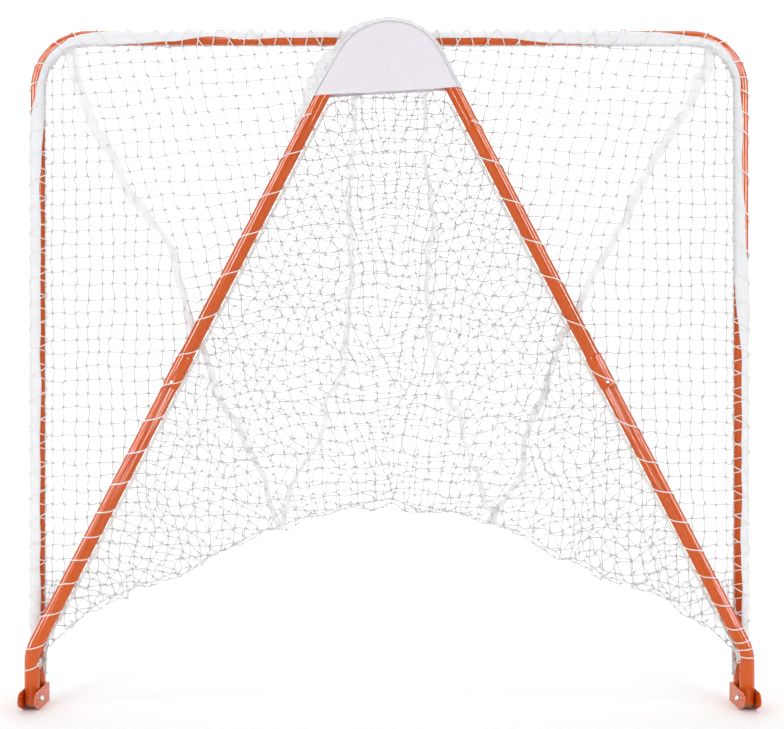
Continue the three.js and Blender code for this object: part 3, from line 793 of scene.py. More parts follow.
# Distances along each half at which the border lace crosses the back of the tube
WRAPS = {
    "left": [40, 118, 196, 272, 350, 428, 510, 603, 676, 761, 827, 877, 945, 998, 1061],
    "right": [36, 112, 190, 268, 350, 432, 532, 606, 683, 774, 831, 873, 940, 984, 1020, 1076, 1126,
              1232, 1337, 1435, 1512],
}
TAPE_HALF = 1.04
TAPE_THICK = 0.9
SPINE_FOOT = 20
half_spines = {}
for word, side in SIDES:
    points = [(0, POST_Y, BAR_Z), (side * POST_X, POST_Y, BAR_Z), (side * POST_X, POST_Y, SPINE_FOOT)]
    half_spines[word] = Spine(round_path(points, BEND, BEND_STEPS))


def tube_point(spine, s, side, angle, radius):
    """A point beside the tube: angle 0 is its back, and positive angles turn to the goal's outside."""
    point, along = spine.at(s)
    outward = np.cross(along, FORWARD) * side
    around = np.sin(angle)[..., None] * outward - np.cos(angle)[..., None] * FORWARD
    return point + radius[..., None] * around


tape = Shape()
for word, side in SIDES:
    spine = half_spines[word]
    end = spine.length - (TAPE_FOOT - SPINE_FOOT)
    s = np.linspace(0, end, int(end / 7))
    middle = np.radians(np.interp(s, *TAPE_TURN[word])) + 0.07 * waves(s, 0 * s, 3 + side, 170)
    middle[0] = math.radians(45)
    s, middle, shares = s[:, None], middle[:, None], np.linspace(-1, 1, 13)[None]
    angle = middle + shares * TAPE_HALF * (1 + 0.05 * waves(s, 0 * s, 8 + side, 120))
    lift = 0.35 + 0.5 * np.abs(waves(s, shares * 25, 21 + side, 45))
    lift += 1.6 * np.abs(shares) ** 6 * np.abs(waves(s, shares * 10, 31 + side, 70))
    outer = tube_point(spine, s, side, angle, TUBE + lift + TAPE_THICK)
    inner = tube_point(spine, s, side, angle, TUBE + lift)
    rings = np.concatenate([outer, inner[:, ::-1]], 1)
    loft(tape, rings[:, ::-1] if side > 0 else rings)
tape_nodes = ("left_border_tape", "right_border_tape", "top_border_tape")
rigid(tape, "border_tape_cloth", TAPE, "front_frame", *tape_nodes)


# ---------------------------------------------------------------- laces
def helix(spine, side, starts, radius, hand, shift=0.0, lead=0.0):
    """A lace that crosses the back of the tube at each listed distance; a lead starts it earlier."""
    turns = list(range(len(starts)))
    if lead:
        starts, turns = [starts[0] - lead] + list(starts), [-0.3] + turns
    s = np.linspace(starts[0], starts[-1], int((starts[-1] - starts[0]) / 3))
    angle = hand * 2 * np.pi * np.interp(s, starts, turns) + shift
    return tube_point(spine, s, side, angle, np.full(len(s), radius))


def carried_on(starts, pitch, end):
    """Adds crossings at an even pitch until the end."""
    while starts[-1] + pitch < end:
        starts.append(starts[-1] + pitch)
    return starts


LACE_RADIUS = 1.5
THIN_LACE = 1.3
POST_ORBIT = TUBE + 2.2 + LACE_RADIUS
LEG_ORBIT = TUBE + 1.8
LACE_PITCH = 64
LEG_LACE_PITCH = 118
BAR_SECOND = (8, 640, 41)
LACE_END = {"left": 40, "right": 75}
SECOND_START = {"left": 1180, "right": 1540}
laces = Shape()
for word, side in SIDES:
    spine = half_spines[word]
    bottom = spine.length - LACE_END[word]
    starts = carried_on(list(WRAPS[word]), LACE_PITCH, bottom)
    cord_line(laces, helix(spine, side, starts, POST_ORBIT, 1), LACE_RADIUS)
    for span in (BAR_SECOND, (SECOND_START[word], bottom - 10, 37)):
        cord_line(laces, helix(spine, side, np.arange(*span), POST_ORBIT - 0.2, -1, 0.4), THIN_LACE)
rigid(laces, "border_laces", LACE, "front_frame", "left_post_lace", "right_post_lace", "crossbar_lace")

# Where the lace of each leg crosses the back of the leg: height above the ground
LEG_WRAPS = {
    "left": [106, 161, 249, 330, 391, 450, 515, 589, 670, 756, 849, 927, 1020, 1135, 1237],
    "right": [137, 158, 177, 210, 272, 346, 417, 490, 568, 646, 740, 864, 1004, 1124, 1218],
}
# Where the lace is tied off on the inner side of each leg: distances along the leg
TIES = {"left": [90, 99], "right": [100, 108, 117, 127, 134]}

ROPE_OFFSET = 24.6
ROPE_RADIUS = 2.5
ROPE_PITCH = 12


def tie_loops(spine, word, side):
    """The small tangled loops of a tied-off lace."""
    rng = np.random.default_rng(540 + side)
    turn = np.linspace(0, 2 * np.pi, 20)[:, None]
    for s in TIES[word]:
        point, along = (v[0] for v in spine.at(np.array([float(s)])))
        inward = np.cross(along, FORWARD) * side
        centre = point + inward * (TUBE + 3.0) + rng.uniform(-9, -4) * FORWARD
        first = unit(along + rng.uniform(-0.7, 0.7) * inward)
        second = unit(inward + rng.uniform(-0.7, 0.7) * FORWARD)
        wide, high = rng.uniform(4.5, 6.5), rng.uniform(3.5, 5.0)
        yield centre + wide * np.cos(turn) * first + high * np.sin(turn) * second


for word, side in SIDES:
    spine = leg_spines[word]
    starts = [float(np.interp(z, spine.points[:, 2], spine.s)) for z in LEG_WRAPS[word]]
    starts = carried_on(starts, LEG_LACE_PITCH, spine.length - 70)
    wrap = Shape()
    cord_line(wrap, helix(spine, side, starts, LEG_ORBIT, 1, lead=8), LACE_RADIUS)
    for loop in tie_loops(spine, word, side):
        cord_line(wrap, loop, THIN_LACE)
    rigid(wrap, f"{word}_leg_lacing", LACE, "v_base", f"{word}_leg_lace")
    point, along = spine.at(np.linspace(130, spine.length - 60, 160))
    rope = Shape()
    line = point + np.cross(along, FORWARD) * side * ROPE_OFFSET + 4.0 * FORWARD
    stranded(rope, line, ROPE_RADIUS, ROPE_PITCH)
    rigid(rope, f"{word}_border_rope", LACE, "v_base", f"{word}_net_rope")


# ---------------------------------------------------------------- net
FOLD_X = [0, 80, 160, 230, 290, 340, 376, 537, 698, 778, 831, 905]
FOLD_Z = [531, 520, 509, 494, 475, 456, 438, 359, 294, 253, 214, 152]
SEAMS = {
    "left": ([475, 763, 803, 863, 937, 1001, 1053, 1127, 1178, 1230, 1312, 1365, 1457, 1510, 1626, 1727,
              1760],
             [290, 410, 429, 466, 498, 527, 535, 550, 566, 593, 651, 696, 733, 772, 814, 843, 868]),
    "right": ([475, 797, 898, 998, 1075, 1146, 1207, 1304, 1386, 1460, 1529, 1603, 1674, 1727, 1760],
              [290, 395, 426, 469, 508, 550, 590, 632, 675, 714, 756, 796, 830, 850, 870]),
}
REAR_SEAM_Z = [475, 690, 860, 1028, 1230, 1340, 1480, 1634]
REAR_SEAM_X = [290, 205, 135, 104, 109, 106, 95, 91]
# The net stops short of the centre lines of the mouth frame and of the legs, and goes up under the hood
NET_EDGE = 23.0
REAR_NET_EDGE = 28
REAR_NET_HALF = 840
UNDER_HOOD = 32


def seam_x(side, z):
    zs, xs = SEAMS["right" if side > 0 else "left"]
    return np.interp(z, zs, xs)


def fold_z(x):
    return np.interp(np.abs(x), FOLD_X, FOLD_Z)


def frame_room(x, z):
    """Distance inwards from the mouth frame's net edge."""
    x = np.abs(x)
    flat = np.minimum(POST_X - NET_EDGE - x, BAR_Z - NET_EDGE - z)
    cx, cz, r = POST_X - BEND, BAR_Z - BEND, BEND - NET_EDGE
    curved = r - np.hypot(x - cx, z - cz)
    return np.where((x > cx) & (z > cz), curved, flat)


def leg_room(x, z):
    """Distance inwards from a leg's centre line."""
    return (leg_x(z) - np.abs(x)) * math.cos(LEAN)


def eased(w):
    """Where along a blend its smooth weight reaches w."""
    low, high = 0.0, 1.0
    for _ in range(40):
        middle = (low + high) / 2
        if middle * middle * (3 - 2 * middle) < w:
            low = middle
        else:
            high = middle
    return (low + high) / 2


FRONT_WINDOWS = [(POST_X, 0), (831, 0.163), (698, 0.256), (376, 0.523), (0, 1)]
REAR_WINDOWS = [(0, 0), (61, 0.167), (142, 0.262), (254, 0.358), (356, 0.534), (690, 1)]


def share_at(distance, windows):
    """The share of the swing at a distance, read off the windows' smooth steps."""
    share = np.full(np.shape(distance), float(windows[-1][1]))
    for (a, wa), (b, wb) in zip(windows, windows[1:]):
        ta, tb = eased(wa), eased(wb)
        t = ta + (tb - ta) * (distance - a) / (b - a)
        within = (distance >= min(a, b)) & (distance < max(a, b))
        share = np.where(within, t * t * (3 - 2 * t), share)
    nearest, its_share = min(windows)
    return np.where(distance < nearest, its_share, share)


def thinned(layer):
    """Which way each point of a layer is drawn out when the net swings, and how far to thin it there."""
    windows, degrees = (FRONT_WINDOWS, 46) if layer == "front" else (REAR_WINDOWS, 45)
    top_angle = math.radians(degrees)

    def thin(p):
        x, z = p[..., 0], p[..., 2]
        if layer == "front":
            distance = np.abs(x)
            way = np.stack([np.sign(x), 0 * x, 0 * x], -1)
        else:
            distance = leg_room(x, z)
            way = np.stack([-np.sign(x) * math.cos(LEAN), 0 * x, 0 * x - math.sin(LEAN)], -1)
        slope = (share_at(distance + 2, windows) - share_at(distance - 2, windows)) / 4
        drawn = np.sqrt(1 + ((BAR_Z - z) * top_angle * slope) ** 2)
        return way, drawn ** -0.5

    return thin


def squeezed(offsets, way, factor):
    """Offsets (..., k, 3) shortened along a direction given for each centre."""
    along = np.sum(offsets * way[..., None, :], -1, keepdims=True)
    return offsets - (1 - factor)[..., None, None] * along * way[..., None, :]


def lattice(origin, a, b, inside, reach=70):
    """Knots and clipped strands of a square net laid over a region of the x, z plane."""
    i, j = np.meshgrid(np.arange(-reach, reach + 1), np.arange(-reach, reach + 1), indexing="ij")
    p = np.array(origin, float) + i[..., None] * np.array(a, float) + j[..., None] * np.array(b, float)
    live = inside(p[..., 0], p[..., 1])
    strands = []
    for di, dj in ((1, 0), (0, 1)):
        p0, p1 = p[: len(p) - di, : len(p) - dj].reshape(-1, 2), p[di:, dj:].reshape(-1, 2)
        l0, l1 = live[: len(p) - di, : len(p) - dj].ravel(), live[di:, dj:].ravel()
        whole = l0 & l1
        strands.append(np.stack([p0[whole], p1[whole]], 1))
        for first, second, pick in ((p0, p1, l0 & ~l1), (p1, p0, l1 & ~l0)):
            start, stop = first[pick].copy(), second[pick].copy()
            low, high = np.zeros(len(start)), np.ones(len(start))
            for _ in range(12):
                middle = (low + high) / 2
                q = start + (stop - start) * middle[:, None]
                ok = inside(q[:, 0], q[:, 1])
                low, high = np.where(ok, middle, low), np.where(ok, high, middle)
            ends = start + (stop - start) * low[:, None]
            strands.append(np.stack([start, ends], 1))
    return p[live], np.concatenate(strands)


def knot_ball():
    """A rounded knot: an icosphere of 42 points."""
    ball = bmesh.new()
    bmesh.ops.create_icosphere(ball, subdivisions=2, radius=1.0)
    points = np.array([v.co[:] for v in ball.verts])
    triangles = np.array([[v.index for v in f.verts] for f in ball.faces])
    ball.free()
    return points, triangles


def twines(shape, strands3, seed, slack=2.2, radius=TWINE, thin=None, sides=5, steps=6):
    """Round twine between the ends of each strand, slightly slack."""
    rng = np.random.default_rng(seed)
    a, b = strands3[:, 0], strands3[:, 1]
    n = len(a)
    t = np.linspace(0, 1, steps)
    arch, wiggle = 4 * t * (1 - t), np.sin(2 * np.pi * t)
    along = unit(b - a)
    length = np.linalg.norm(b - a, axis=1)
    size = np.clip(length / MESH, 0, 1)[:, None]
    across = np.stack([-along[:, 2], np.zeros(n), along[:, 0]], -1)
    sag = across * rng.normal(0, slack, (n, 1)) + FORWARD * rng.normal(0, slack * 0.5, (n, 1))
    sag[:, 2] -= np.abs(along[:, 0]) * 1.6
    ess = across * rng.normal(0, slack * 0.55, (n, 1))
    line = a[:, None] + (b - a)[:, None] * t[None, :, None]
    line = line + (sag * size)[:, None] * arch[None, :, None] + (ess * size)[:, None] * wiggle[None, :, None]
    u, v = side_frames(line)
    angle = 2 * np.pi * np.arange(sides) / sides
    around = radius * (np.cos(angle)[:, None] * u[:, :, None] + np.sin(angle)[:, None] * v[:, :, None])
    if thin is not None:
        around = squeezed(around, *thin(line))
    rings = line[:, :, None] + around
    one, row, column = quads(steps, sides)
    faces = (np.arange(n) * steps * sides)[:, None, None] + one
    u0, v0 = row.ravel() * 1.0, column.ravel() / sides
    uvs = np.repeat(face_uvs(u0, u0 + 1, v0, v0 + 1 / sides)[None], n, 0)
    uvs[..., 0] *= (length / (steps - 1))[:, None, None]
    key = np.repeat(((a + b) / 2)[:, None], len(one), 1).reshape(-1, 3)
    shape.add(rings.reshape(-1, 3), faces.reshape(-1, 4), uvs.reshape(-1, 4, 2), key)


def knots(shape, points3, seed, size=3.1, thin=None):
    """A lumpy knot at every crossing."""
    rng = np.random.default_rng(seed)
    ball, triangles = knot_ball()
    n = len(points3)
    turn = rng.uniform(0, 2 * np.pi, n)
    ranges = ((0.95, 1.35), (0.75, 0.95), (0.8, 1.1))
    stretch = np.stack([rng.uniform(low, high, n) for low, high in ranges], -1) * size
    body = ball[None] * stretch[:, None]
    body = body * (1 + 0.1 * np.sin(6 * ball[None, :, :1] + turn[:, None, None]))
    c, s = np.cos(turn)[:, None], np.sin(turn)[:, None]
    x = body[..., 0] * c - body[..., 2] * s
    z = body[..., 0] * s + body[..., 2] * c
    around = np.stack([x, body[..., 1], z], -1)
    if thin is not None:
        around = squeezed(around, *thin(points3))
    points = around + points3[:, None]
    faces = (np.arange(n) * len(ball))[:, None, None] + triangles[None]
    key = np.repeat(points3[:, None], len(triangles), 1).reshape(-1, 3)
    shape.add(points.reshape(-1, 3), faces.reshape(-1, 3), None, key)


def front_place(p):
    """Puts a point of the front layer where the slack net hangs."""
    x, z = p[..., 0], p[..., 1]
    room = np.clip(frame_room(x, z), 0, None)
    ease = np.clip(room / 70, 0, 1)
    inner = np.clip(leg_room(x, z) / 120, 0, 1)
    low = 0.35 + 0.65 * np.clip((1500 - z) / 500, 0, 1)
    amount = ease * (4.0 + 9.0 * inner * low)
    dx = amount * waves(x, z, 101, 190) + ease * 2.5 * waves(x, z, 102, 70)
    dz = amount * 0.8 * waves(x, z, 103, 210) + ease * 2.0 * waves(x, z, 104, 65)
    toward_tube = 15 * np.clip(1 - room / 60, 0, 1) ** 1.5
    y = FRONT_NET_Y + toward_tube + ease * (1.6 + 3.0 * inner) * waves(x, z, 105, 160)
    return np.stack([x + dx, y, z + dz], -1)


def rear_place(p):
    """Puts a point of the rear layer where the slack net hangs."""
    x, z = p[..., 0], p[..., 1]
    room = np.clip(leg_room(x, z) - 27, 0, None)
    under_hood = np.clip((HOOD_BOTTOM - z) / 60, 0, 1)
    ease = np.clip(room / 60, 0, 1) * under_hood
    amount = ease * (3.0 + 7.0 * np.clip((1450 - z) / 450, 0, 1))
    dx = amount * (waves(x, z, 201, 150) + 0.45 * waves(x, z, 202, 60))
    dz = amount * (waves(x, z, 203, 160) + 0.45 * waves(x, z, 204, 60))
    toward_tube = 14 * np.clip(1 - room / 45, 0, 1) ** 1.5
    y = REAR_NET_Y - toward_tube - ease * 2.0 + ease * 2.2 * waves(x, z, 205, 140)
    return np.stack([x + dx, y, z + dz], -1)


def front_regions(side):
    def panel(x, z):
        return (x * side > 0) & (frame_room(x, z) > 0) & (z > fold_z(x))

    def outer(x, z):
        return panel(x, z) & (np.abs(x) > seam_x(side, z))

    def middle(x, z):
        return panel(x, z) & (np.abs(x) <= seam_x(side, z))

    return outer, middle


def rear_regions(side):
    def panel(x, z):
        between = (z > fold_z(x)) & (z < HOOD_BOTTOM + UNDER_HOOD)
        return (x * side > 0) & (leg_room(x, z) > REAR_NET_EDGE) & between & (np.abs(x) < REAR_NET_HALF)

    def outer(x, z):
        return panel(x, z) & (np.abs(x) > np.interp(z, REAR_SEAM_Z, REAR_SEAM_X))

    def middle(x, z):
        return panel(x, z) & (np.abs(x) <= np.interp(z, REAR_SEAM_Z, REAR_SEAM_X))

    return outer, middle


def front_pieces(side):
    """The outer and the middle panel of the front layer: the outer one's cells are narrower."""
    outer, middle = front_regions(side)
    outer_start = (side * (POST_X - NET_EDGE - 20), BAR_Z - NET_EDGE - 24)
    yield lattice(outer_start, (side * -SIDE_MESH, 0.6), (0, -MESH), outer)
    slope = math.atan(0.24)
    middle_start = (side * (POST_X - NET_EDGE - 40), BAR_Z - NET_EDGE - 26)
    down = (side * -MESH * math.sin(slope), -MESH * math.cos(slope))
    yield lattice(middle_start, (side * -MESH, 2.6), down, middle)


def rear_pieces(side):
    """The outer panel of the rear layer, laid along the leg, and the upright middle one."""
    outer, middle = rear_regions(side)
    toward_middle = (-side * REAR_MESH * math.cos(LEAN), -REAR_MESH * math.sin(LEAN))
    down = (side * REAR_MESH * math.sin(LEAN), -REAR_MESH * math.cos(LEAN))
    yield lattice((side * (leg_x(1000) - 60), 1000), toward_middle, down, outer)
    yield lattice((side * REAR_MESH / 2, HOOD_BOTTOM - 24), (side * REAR_MESH, 0), (0, -REAR_MESH), middle)


front, rear = Shape(), Shape()
front_thin, rear_thin = thinned("front"), thinned("rear")
for word, side in SIDES:
    for n, (points, strands) in enumerate(front_pieces(side)):
        twines(front, front_place(strands), 40 + n + 5 * side, thin=front_thin)
        knots(front, front_place(points), 50 + n + 5 * side, thin=front_thin)
    for n, (points, strands) in enumerate(rear_pieces(side)):
        twines(rear, rear_place(strands), 60 + n + 5 * side, 3.2, thin=rear_thin)
        knots(rear, rear_place(points), 70 + n + 5 * side, 2.8, rear_thin)


def border_strands(points, place):
    """Short lengths of twine that follow a line of points."""
    _, line = spaced(np.array(points, float), 24)
    return place(np.stack([line[:-1], line[1:]], 1)), place(line)


for side in (-1, 1):
    arc = arc_points(POST_X - BEND, BAR_Z - BEND, BEND - NET_EDGE, np.linspace(0, np.pi / 2, 12))
    edge = [(side * x, z) for x, z in [(POST_X - NET_EDGE, 155)] + arc + [(0, BAR_Z - NET_EDGE)]]
    fold = [(side * x, z) for x, z in zip(FOLD_X, FOLD_Z)]
    strands, _ = border_strands(edge, front_place)
    twines(front, strands, 80 + side, 0.6, 1.8, front_thin)
    layers = ((front, front_place, fold, front_thin), (rear, rear_place, fold[:-1], rear_thin))
    for shape, place, line, thin in layers:
        strands, points = border_strands(line, place)
        twines(shape, strands, 84 + side, 2.6, BORDER_TWINE, thin)
        knots(shape, points, 88 + side, 2.8, thin)
    inset = REAR_NET_EDGE / math.cos(LEAN)
    line = [(side * (leg_x(z) - inset), z) for z in np.linspace(225, HOOD_BOTTOM - 8, 20)]
    strands, _ = border_strands(line, rear_place)
    twines(rear, strands, 92 + side, 0.6, BORDER_TWINE, rear_thin)


# Each layer of the net: its windows, its bodies and what measures how far a place is from where it hangs
LAYERS = {
    "front": (FRONT_WINDOWS, ("front_frame", "net_front"), lambda key: np.abs(key[:, 0])),
    "rear": (REAR_WINDOWS, ("v_base", "net_rear"), lambda key: leg_room(key[:, 0], key[:, 2])),
}


def blend_point(layer, side, distance):
    """Where a distance from a layer's hanging line lies, in metres."""
    if layer == "front":
        return (side * distance * MM, 0, 0)
    x, z = POST_X - distance * math.cos(LEAN), KINK_HEIGHT - distance * math.sin(LEAN)
    return (side * x * MM, 0, z * MM)


def hung(shape, name, finish, side, layer, *replaced):
    """Cuts a hanging piece into strips beside each other, one for each window of its layer."""
    windows, bodies, measure = LAYERS[layer]
    for n, ((a, wa), (b, wb)) in enumerate(zip(windows, windows[1:])):
        ta, tb = eased(wa), eased(wb)
        first = a - ta * (b - a) / (tb - ta)
        last = a + (1 - ta) * (b - a) / (tb - ta)
        low, high = min(a, b), max(a, b)
        if n == 0:
            low, high = (low, math.inf) if layer == "front" else (-math.inf, high)

        def keep(key):
            return (key[:, 0] * side > 0) & (measure(key) >= low) & (measure(key) < high)

        if not any(keep(key).any() for key in shape.keys):
            continue
        obj = finished(shape.build(f"{name}_{n + 1}", keep), finish)
        start, end = (blend_point(layer, side, distance) for distance in (first, last))
        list(bodies)
        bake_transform(obj)
        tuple(start)
        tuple(end)
        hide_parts(*replaced)


for word, side in SIDES:
    hung(front, f"{word}_front_netting", NET, side, "front", "front_net")
    hung(rear, f"{word}_rear_netting", NET, side, "rear", "rear_net")


# ---------------------------------------------------------------- corner netting
# The net that closes each foot corner: built fanned out round the pivot as on the open V base, then turned
# back to lie bunched in the gap between the post and the leg, as when the goal is folded.
CORNER_RADII = np.arange(66, 330, 34.0)
CORNER_SHARES = np.linspace(0, 1, 13)
LEG_SIDE = TUBE
POST_SIDE = POST_Y - TUBE - LEG_Y


def corner_points(side, radii, shares):
    """Points of the open corner net, at distances from the pivot and shares of the way from post to leg."""
    radius, share = np.meshgrid(radii, shares, indexing="ij")
    angle = (share - 1) * np.arcsin(POST_SIDE / radius) + share * (np.pi / 2 - np.arcsin(LEG_SIDE / radius))
    inset = 25 + 4 * waves(radius, 90 * share, 501 + side, 60)
    inset = inset + share * np.clip(POST_X - leg_x(PIVOT_HEIGHT + radius), 0, None)
    radius = radius + 5 * np.sin(np.pi * share) * waves(radius, 300 * share, 503 + side, 90)
    y, z = LEG_Y - radius * np.sin(angle), PIVOT_HEIGHT + radius * np.cos(angle)
    return np.stack([side * (POST_X - inset), y, z], -1)


def folded(points):
    """Where each point of the open corner net lies when the goal is folded: it turns back round the pivot."""
    y, z = points[:, 1] - LEG_Y, points[:, 2] - PIVOT_HEIGHT
    radius, angle = np.hypot(y, z), np.arctan2(-y, z)
    low, high = np.full(len(y), LEG_SIDE - 8), np.full(len(y), POST_SIDE + 8)
    for _ in range(40):
        middle = (low + high) / 2
        t = np.clip((POST_SIDE - middle) / (POST_SIDE - LEG_SIDE), 0, 1)
        short = t * t * (3 - 2 * t) * np.pi / 2 - np.arcsin(middle / radius) < angle
        low, high = np.where(short, low, middle), np.where(short, middle, high)
    return np.stack([points[:, 0], LEG_Y + low, PIVOT_HEIGHT + np.sqrt(radius ** 2 - low ** 2)], -1)


for word, side in SIDES:
    corner = Shape()
    grid = corner_points(side, CORNER_RADII, CORNER_SHARES)
    twines(corner, np.stack([grid[:, :-1], grid[:, 1:]], 2).reshape(-1, 2, 3), 510 + side, 1.0, CORNER_TWINE)
    spokes = grid[:, ::2]
    twines(corner, np.stack([spokes[:-1], spokes[1:]], 2).reshape(-1, 2, 3), 520 + side, 2.0, CORNER_TWINE)
    knots(corner, spokes.reshape(-1, 3), 530 + side, 2.6)
    corner.points = [folded(points) for points in corner.points]
    obj = finished(corner.build(f"{word}_corner_netting"), NET)
    start, end = ((0, y * MM, 0) for y in (POST_Y - TUBE, LEG_Y + TUBE))
    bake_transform(obj)
    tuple(start)
    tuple(end)


# ---------------------------------------------------------------- seam tapes
# Widths along each tape: shares of its length from the top, and millimetres
FRONT_SEAM_WIDTHS = ([0, 0.12, 0.4, 1], [36, 27, 21, 15])
REAR_SEAM_WIDTHS = ([0, 1], [16, 12])
SEAM_DEPTH = -3.4
SEAM_THICK = 0.8


def ribbon(points, place, widths, seed):
    """A creased tape that follows a line of points on the back of a layer."""
    at, line = spaced(np.array(points, float), 8)
    for _ in range(6):
        line[1:-1] = (line[:-2] + line[1:-1] * 2 + line[2:]) / 4
    middle = place(line)
    along = unit(np.gradient(middle, axis=0))
    across = unit(np.cross(along, FORWARD))
    shares = np.linspace(-1, 1, 9)
    span = np.interp(at / at[-1], *widths) / 2 * (1 + 0.12 * waves(at, 0 * at, seed, 130))
    rings = middle[:, None] + across[:, None] * (shares[None] * span[:, None])[..., None]
    crease = 1.6 * waves(at[:, None], shares[None] * 20, seed + 1, 60) + 1.2 * np.abs(shares[None])
    outside = rings + FORWARD * (SEAM_DEPTH + crease)[..., None]
    inside = outside + FORWARD * SEAM_THICK
    return loft(Shape(), np.concatenate([outside, inside[:, ::-1]], 1))


for word, side in SIDES:
    zs, xs = SEAMS[word]
    line = [(side * x, z) for x, z in zip(xs[::-1], zs[::-1])]
    seam = ribbon(line, front_place, FRONT_SEAM_WIDTHS, 300 + side)
    hung(seam, f"{word}_front_seam_tape", SEAM, side, "front", f"{word}_front_seam")
    line = [(side * x, z) for x, z in zip(REAR_SEAM_X[::-1], REAR_SEAM_Z[::-1])]
    seam = ribbon(line, rear_place, REAR_SEAM_WIDTHS, 310 + side)
    hung(seam, f"{word}_rear_seam_tape", SEAM, side, "rear", f"{word}_rear_seam")


# ---------------------------------------------------------------- hood
HOOD_REACH = TUBE + 1.4
HOOD_TOP = APEX_Z - APEX_BEND
HEM_RISE = 24.0
HEM_HALF = 190.0
# The see-through rim: how far it reaches inside and outside the hood's edge, by shares of the way round
RIM_WIDE = ([0, 0.1, 0.16, 0.3, 0.5, 0.7, 1], [0, 0, 4, 8, 12, 9, 8])
RIM_PROUD = ([0, 0.05, 0.1, 0.17, 0.24, 0.32, 0.42, 0.55, 0.7, 1], [4, 12, 20, 31, 33, 25, 12, 7, 4, 2.5])
RIM_TAIL = 96
RIM_THICK = 0.5


def hem_z(x):
    """The hem climbs from left to right."""
    return HOOD_BOTTOM + HEM_RISE * (0.5 + 0.5 * x / HEM_HALF)


def hood_outline(tail=0.0):
    """The hood's outer edge in x, z, up the left leg, round the bend and down the right leg,
    and the points of its middle line that face it."""
    edge, middle = [], []
    for side in (-1, 1):
        run, facing = [], []
        start = hem_z(side * leg_x(HOOD_BOTTOM)) - (tail if side < 0 else 0)
        for t in np.linspace(0, 1, 10)[:-1]:
            z = start + (HOOD_TOP - start) * t
            run.append((side * (leg_x(z) + HOOD_REACH / math.cos(LEAN)), z))
            facing.append((0, hem_z(0) + (HOOD_TOP - hem_z(0)) * t))
        if side > 0:
            edge, middle = edge + run[::-1], middle + facing[::-1]
            continue
        edge, middle = edge + run, middle + facing
        for a in np.linspace(np.pi - LEAN, LEAN, 41):
            radius = APEX_BEND + HOOD_REACH
            edge.append((radius * math.cos(a), HOOD_TOP + radius * math.sin(a)))
            middle.append((0, HOOD_TOP + 12 * math.sin(a)))
    return np.array(edge), np.array(middle)


def hood_depth(x, z):
    """How far each wall of the hood stands from the bow's middle plane."""
    arc_room = APEX_BEND + HOOD_REACH - np.hypot(x, z - HOOD_TOP)
    leg_side = leg_room(x, z) + HOOD_REACH
    room = np.clip(np.where(z > HOOD_TOP + np.abs(x) * math.tan(LEAN), arc_room, leg_side), 0, None)
    over_tube = np.sqrt(np.clip(HOOD_REACH ** 2 - (HOOD_REACH - room) ** 2, 0, None))
    bulge = np.where(room < HOOD_REACH, over_tube, HOOD_REACH)
    fan, run = 240 * np.arctan2(x, APEX_Z + 60 - z), 0.25 * np.hypot(x, APEX_Z + 60 - z)
    inside = np.clip((room - HOOD_REACH - 4) / 45, 0, 1)
    sag = inside * (4.5 + 2.2 * waves(fan, run, 401, 46) + 1.0 * waves(fan, run, 402, 20))
    pleats = np.clip(waves(fan * 2.2, run * 4, 403, 22), -1.2, 1.2)
    return bulge - sag + 0.7 * np.clip(1 - np.abs(room - 16) / 16, 0, 1) * pleats


def hood_walls():
    """A pocket of cloth over the apex: two walls that meet round the outside of the bend."""
    outline, inner = hood_outline()
    shares = np.concatenate([[0, 0.008, 0.025, 0.05, 0.085, 0.12], np.linspace(0.16, 1, 22)])
    hood = Shape()
    for wall in (-1, 1):
        flat = outline[:, None] + (inner - outline)[:, None] * shares[None, :, None]
        depth = hood_depth(flat[..., 0], flat[..., 1])
        grid = np.stack([flat[..., 0], LEG_Y + wall * depth, flat[..., 1]], -1)
        loft(hood, grid if wall < 0 else grid[:, ::-1], closed=False, caps=False)
    return hood


def hood_rim():
    """The crinkled see-through band sewn along the hood's edge, wide on the left and narrow on the right."""
    edge, _ = hood_outline(RIM_TAIL)
    lengths = distances(edge)
    at = np.linspace(0, lengths[-1], 300)
    line = sampled(edge, at, lengths)
    along = unit(np.gradient(line, axis=0))
    out = np.stack([-along[:, 1], along[:, 0]], -1)
    wide = np.interp(at / at[-1], *RIM_WIDE)
    proud = np.interp(at / at[-1], *RIM_PROUD) * (1 + 0.25 * waves(at, 0 * at, 411, 60))
    across = np.linspace(0, 1, 11)
    reach = proud[:, None] - (proud + wide)[:, None] * across[None]
    flat = line[:, None] + out[:, None] * reach[..., None]
    inside = np.clip(-reach, 0, None)
    over = np.sqrt(np.clip(HOOD_REACH ** 2 - np.clip(HOOD_REACH - inside, 0, None) ** 2, 0, None))
    place = (at[:, None], across[None] * 24)
    crinkle = 0.9 * waves(*place, 412, 11) + 0.8 * waves(*place, 413, 24)
    depth = over + 1.6 + np.abs(crinkle)
    outer = np.stack([flat[..., 0], LEG_Y - depth, flat[..., 1]], -1)
    inner = outer + RIM_THICK * FORWARD
    return loft(Shape(), np.concatenate([outer, inner[:, ::-1]], 1))


hood_obj = hood_walls().build("apex_hood_cloth")
work = bmesh.new()
work.from_mesh(hood_obj.data)
bmesh.ops.remove_doubles(work, verts=work.verts, dist=0.0002)
bmesh.ops.recalc_face_normals(work, faces=work.faces)
work.to_mesh(hood_obj.data)
work.free()
mounted(hood_obj, HOOD, "v_base", "apex_hood")
rigid(hood_rim(), "apex_hood_rim", GAUZE, "v_base")


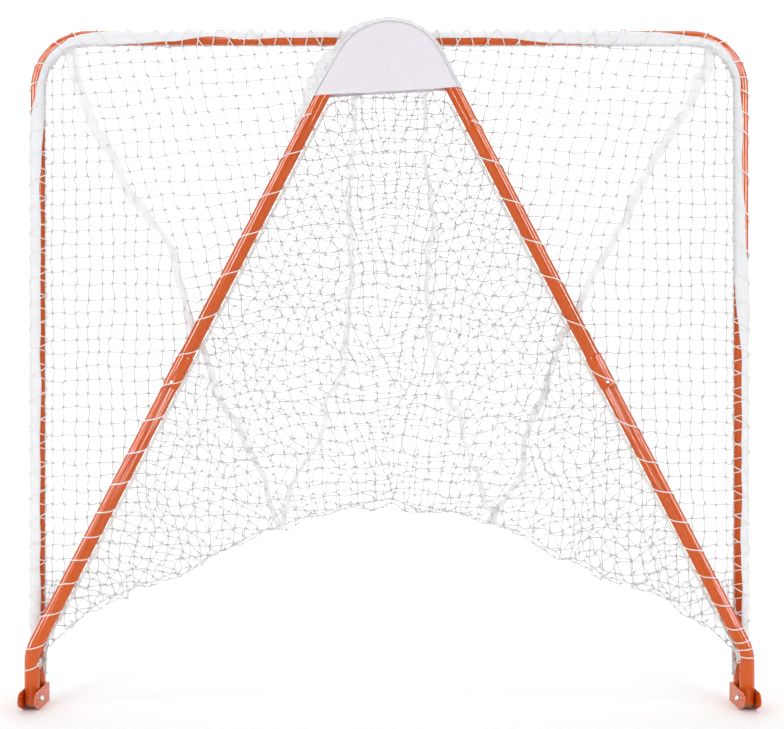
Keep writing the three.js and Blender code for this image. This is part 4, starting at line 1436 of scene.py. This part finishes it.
# ---------------------------------------------------------------- floor, light
def stage_mesh():
    """A floor that curves up into a backdrop."""
    bend = [(8.0 + 1.6 * math.sin(a), 1.6 - 1.6 * math.cos(a)) for a in np.linspace(0, np.pi / 2, 16)]
    profile = [(-12.0, 0)] + bend + [(9.6, 8.0)]
    points = [(x, y, z) for x in (-14.0, 14.0) for y, z in profile]
    n = len(profile)
    faces = [(k, k + 1, n + k + 1, n + k) for k in range(n - 1)]
    mesh = bpy.data.meshes.new("floor")
    mesh.from_pydata(points, [], faces)
    mesh.shade_smooth()
    mesh.materials.append(Look("floor", (0.93, 0.93, 0.93), 0.6).material)
    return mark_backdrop(add_object("floor", mesh))


stage_mesh()


def softbox(name, place, aim, size, power):
    light = bpy.data.lights.new(name, "AREA")
    light.shape = "RECTANGLE"
    light.size, light.size_y = size
    light.energy = power
    lamp = add_object(name, light)
    lamp.location = place
    lamp.visible_camera = False
    lamp.rotation_euler = (Vector(aim) - Vector(place)).to_track_quat("-Z", "Y").to_euler()
    return lamp


softbox("strip_left", (-2.0, -2.1, 1.55), (0, 0, 1.1), (0.45, 2.4), 16)
softbox("strip_right", (2.0, -2.1, 1.55), (0, 0, 1.1), (0.45, 2.4), 14)
for side in (-1, 1):
    for name, place, size, power in (
        ("gloss_far", (side * 3.4, -0.75, 2.1), (0.46, 3.8), 215),
        ("gloss_near", (side * 2.1, -2.6, 1.9), (0.32, 3.6), 140),
    ):
        lamp = softbox(name, place, (side * 0.5, 0, place[2] - 0.5), size, power)
        lamp.visible_diffuse = False
softbox("ceiling", (0, 0.6, 6.0), (0, 0.6, 0), (7.0, 5.0), 190)
softbox("backdrop_wash", (0, 5.5, 6.5), (0, 9.5, 2.2), (9.0, 1.5), 330)
world = bpy.data.worlds.new("studio")
world.use_nodes = True
world.node_tree.nodes["Background"].inputs["Color"].default_value = (1, 1, 1, 1)
world.node_tree.nodes["Background"].inputs["Strength"].default_value = 0.55
bpy.context.scene.world = world
bpy.context.scene.view_settings.view_transform = "Standard"
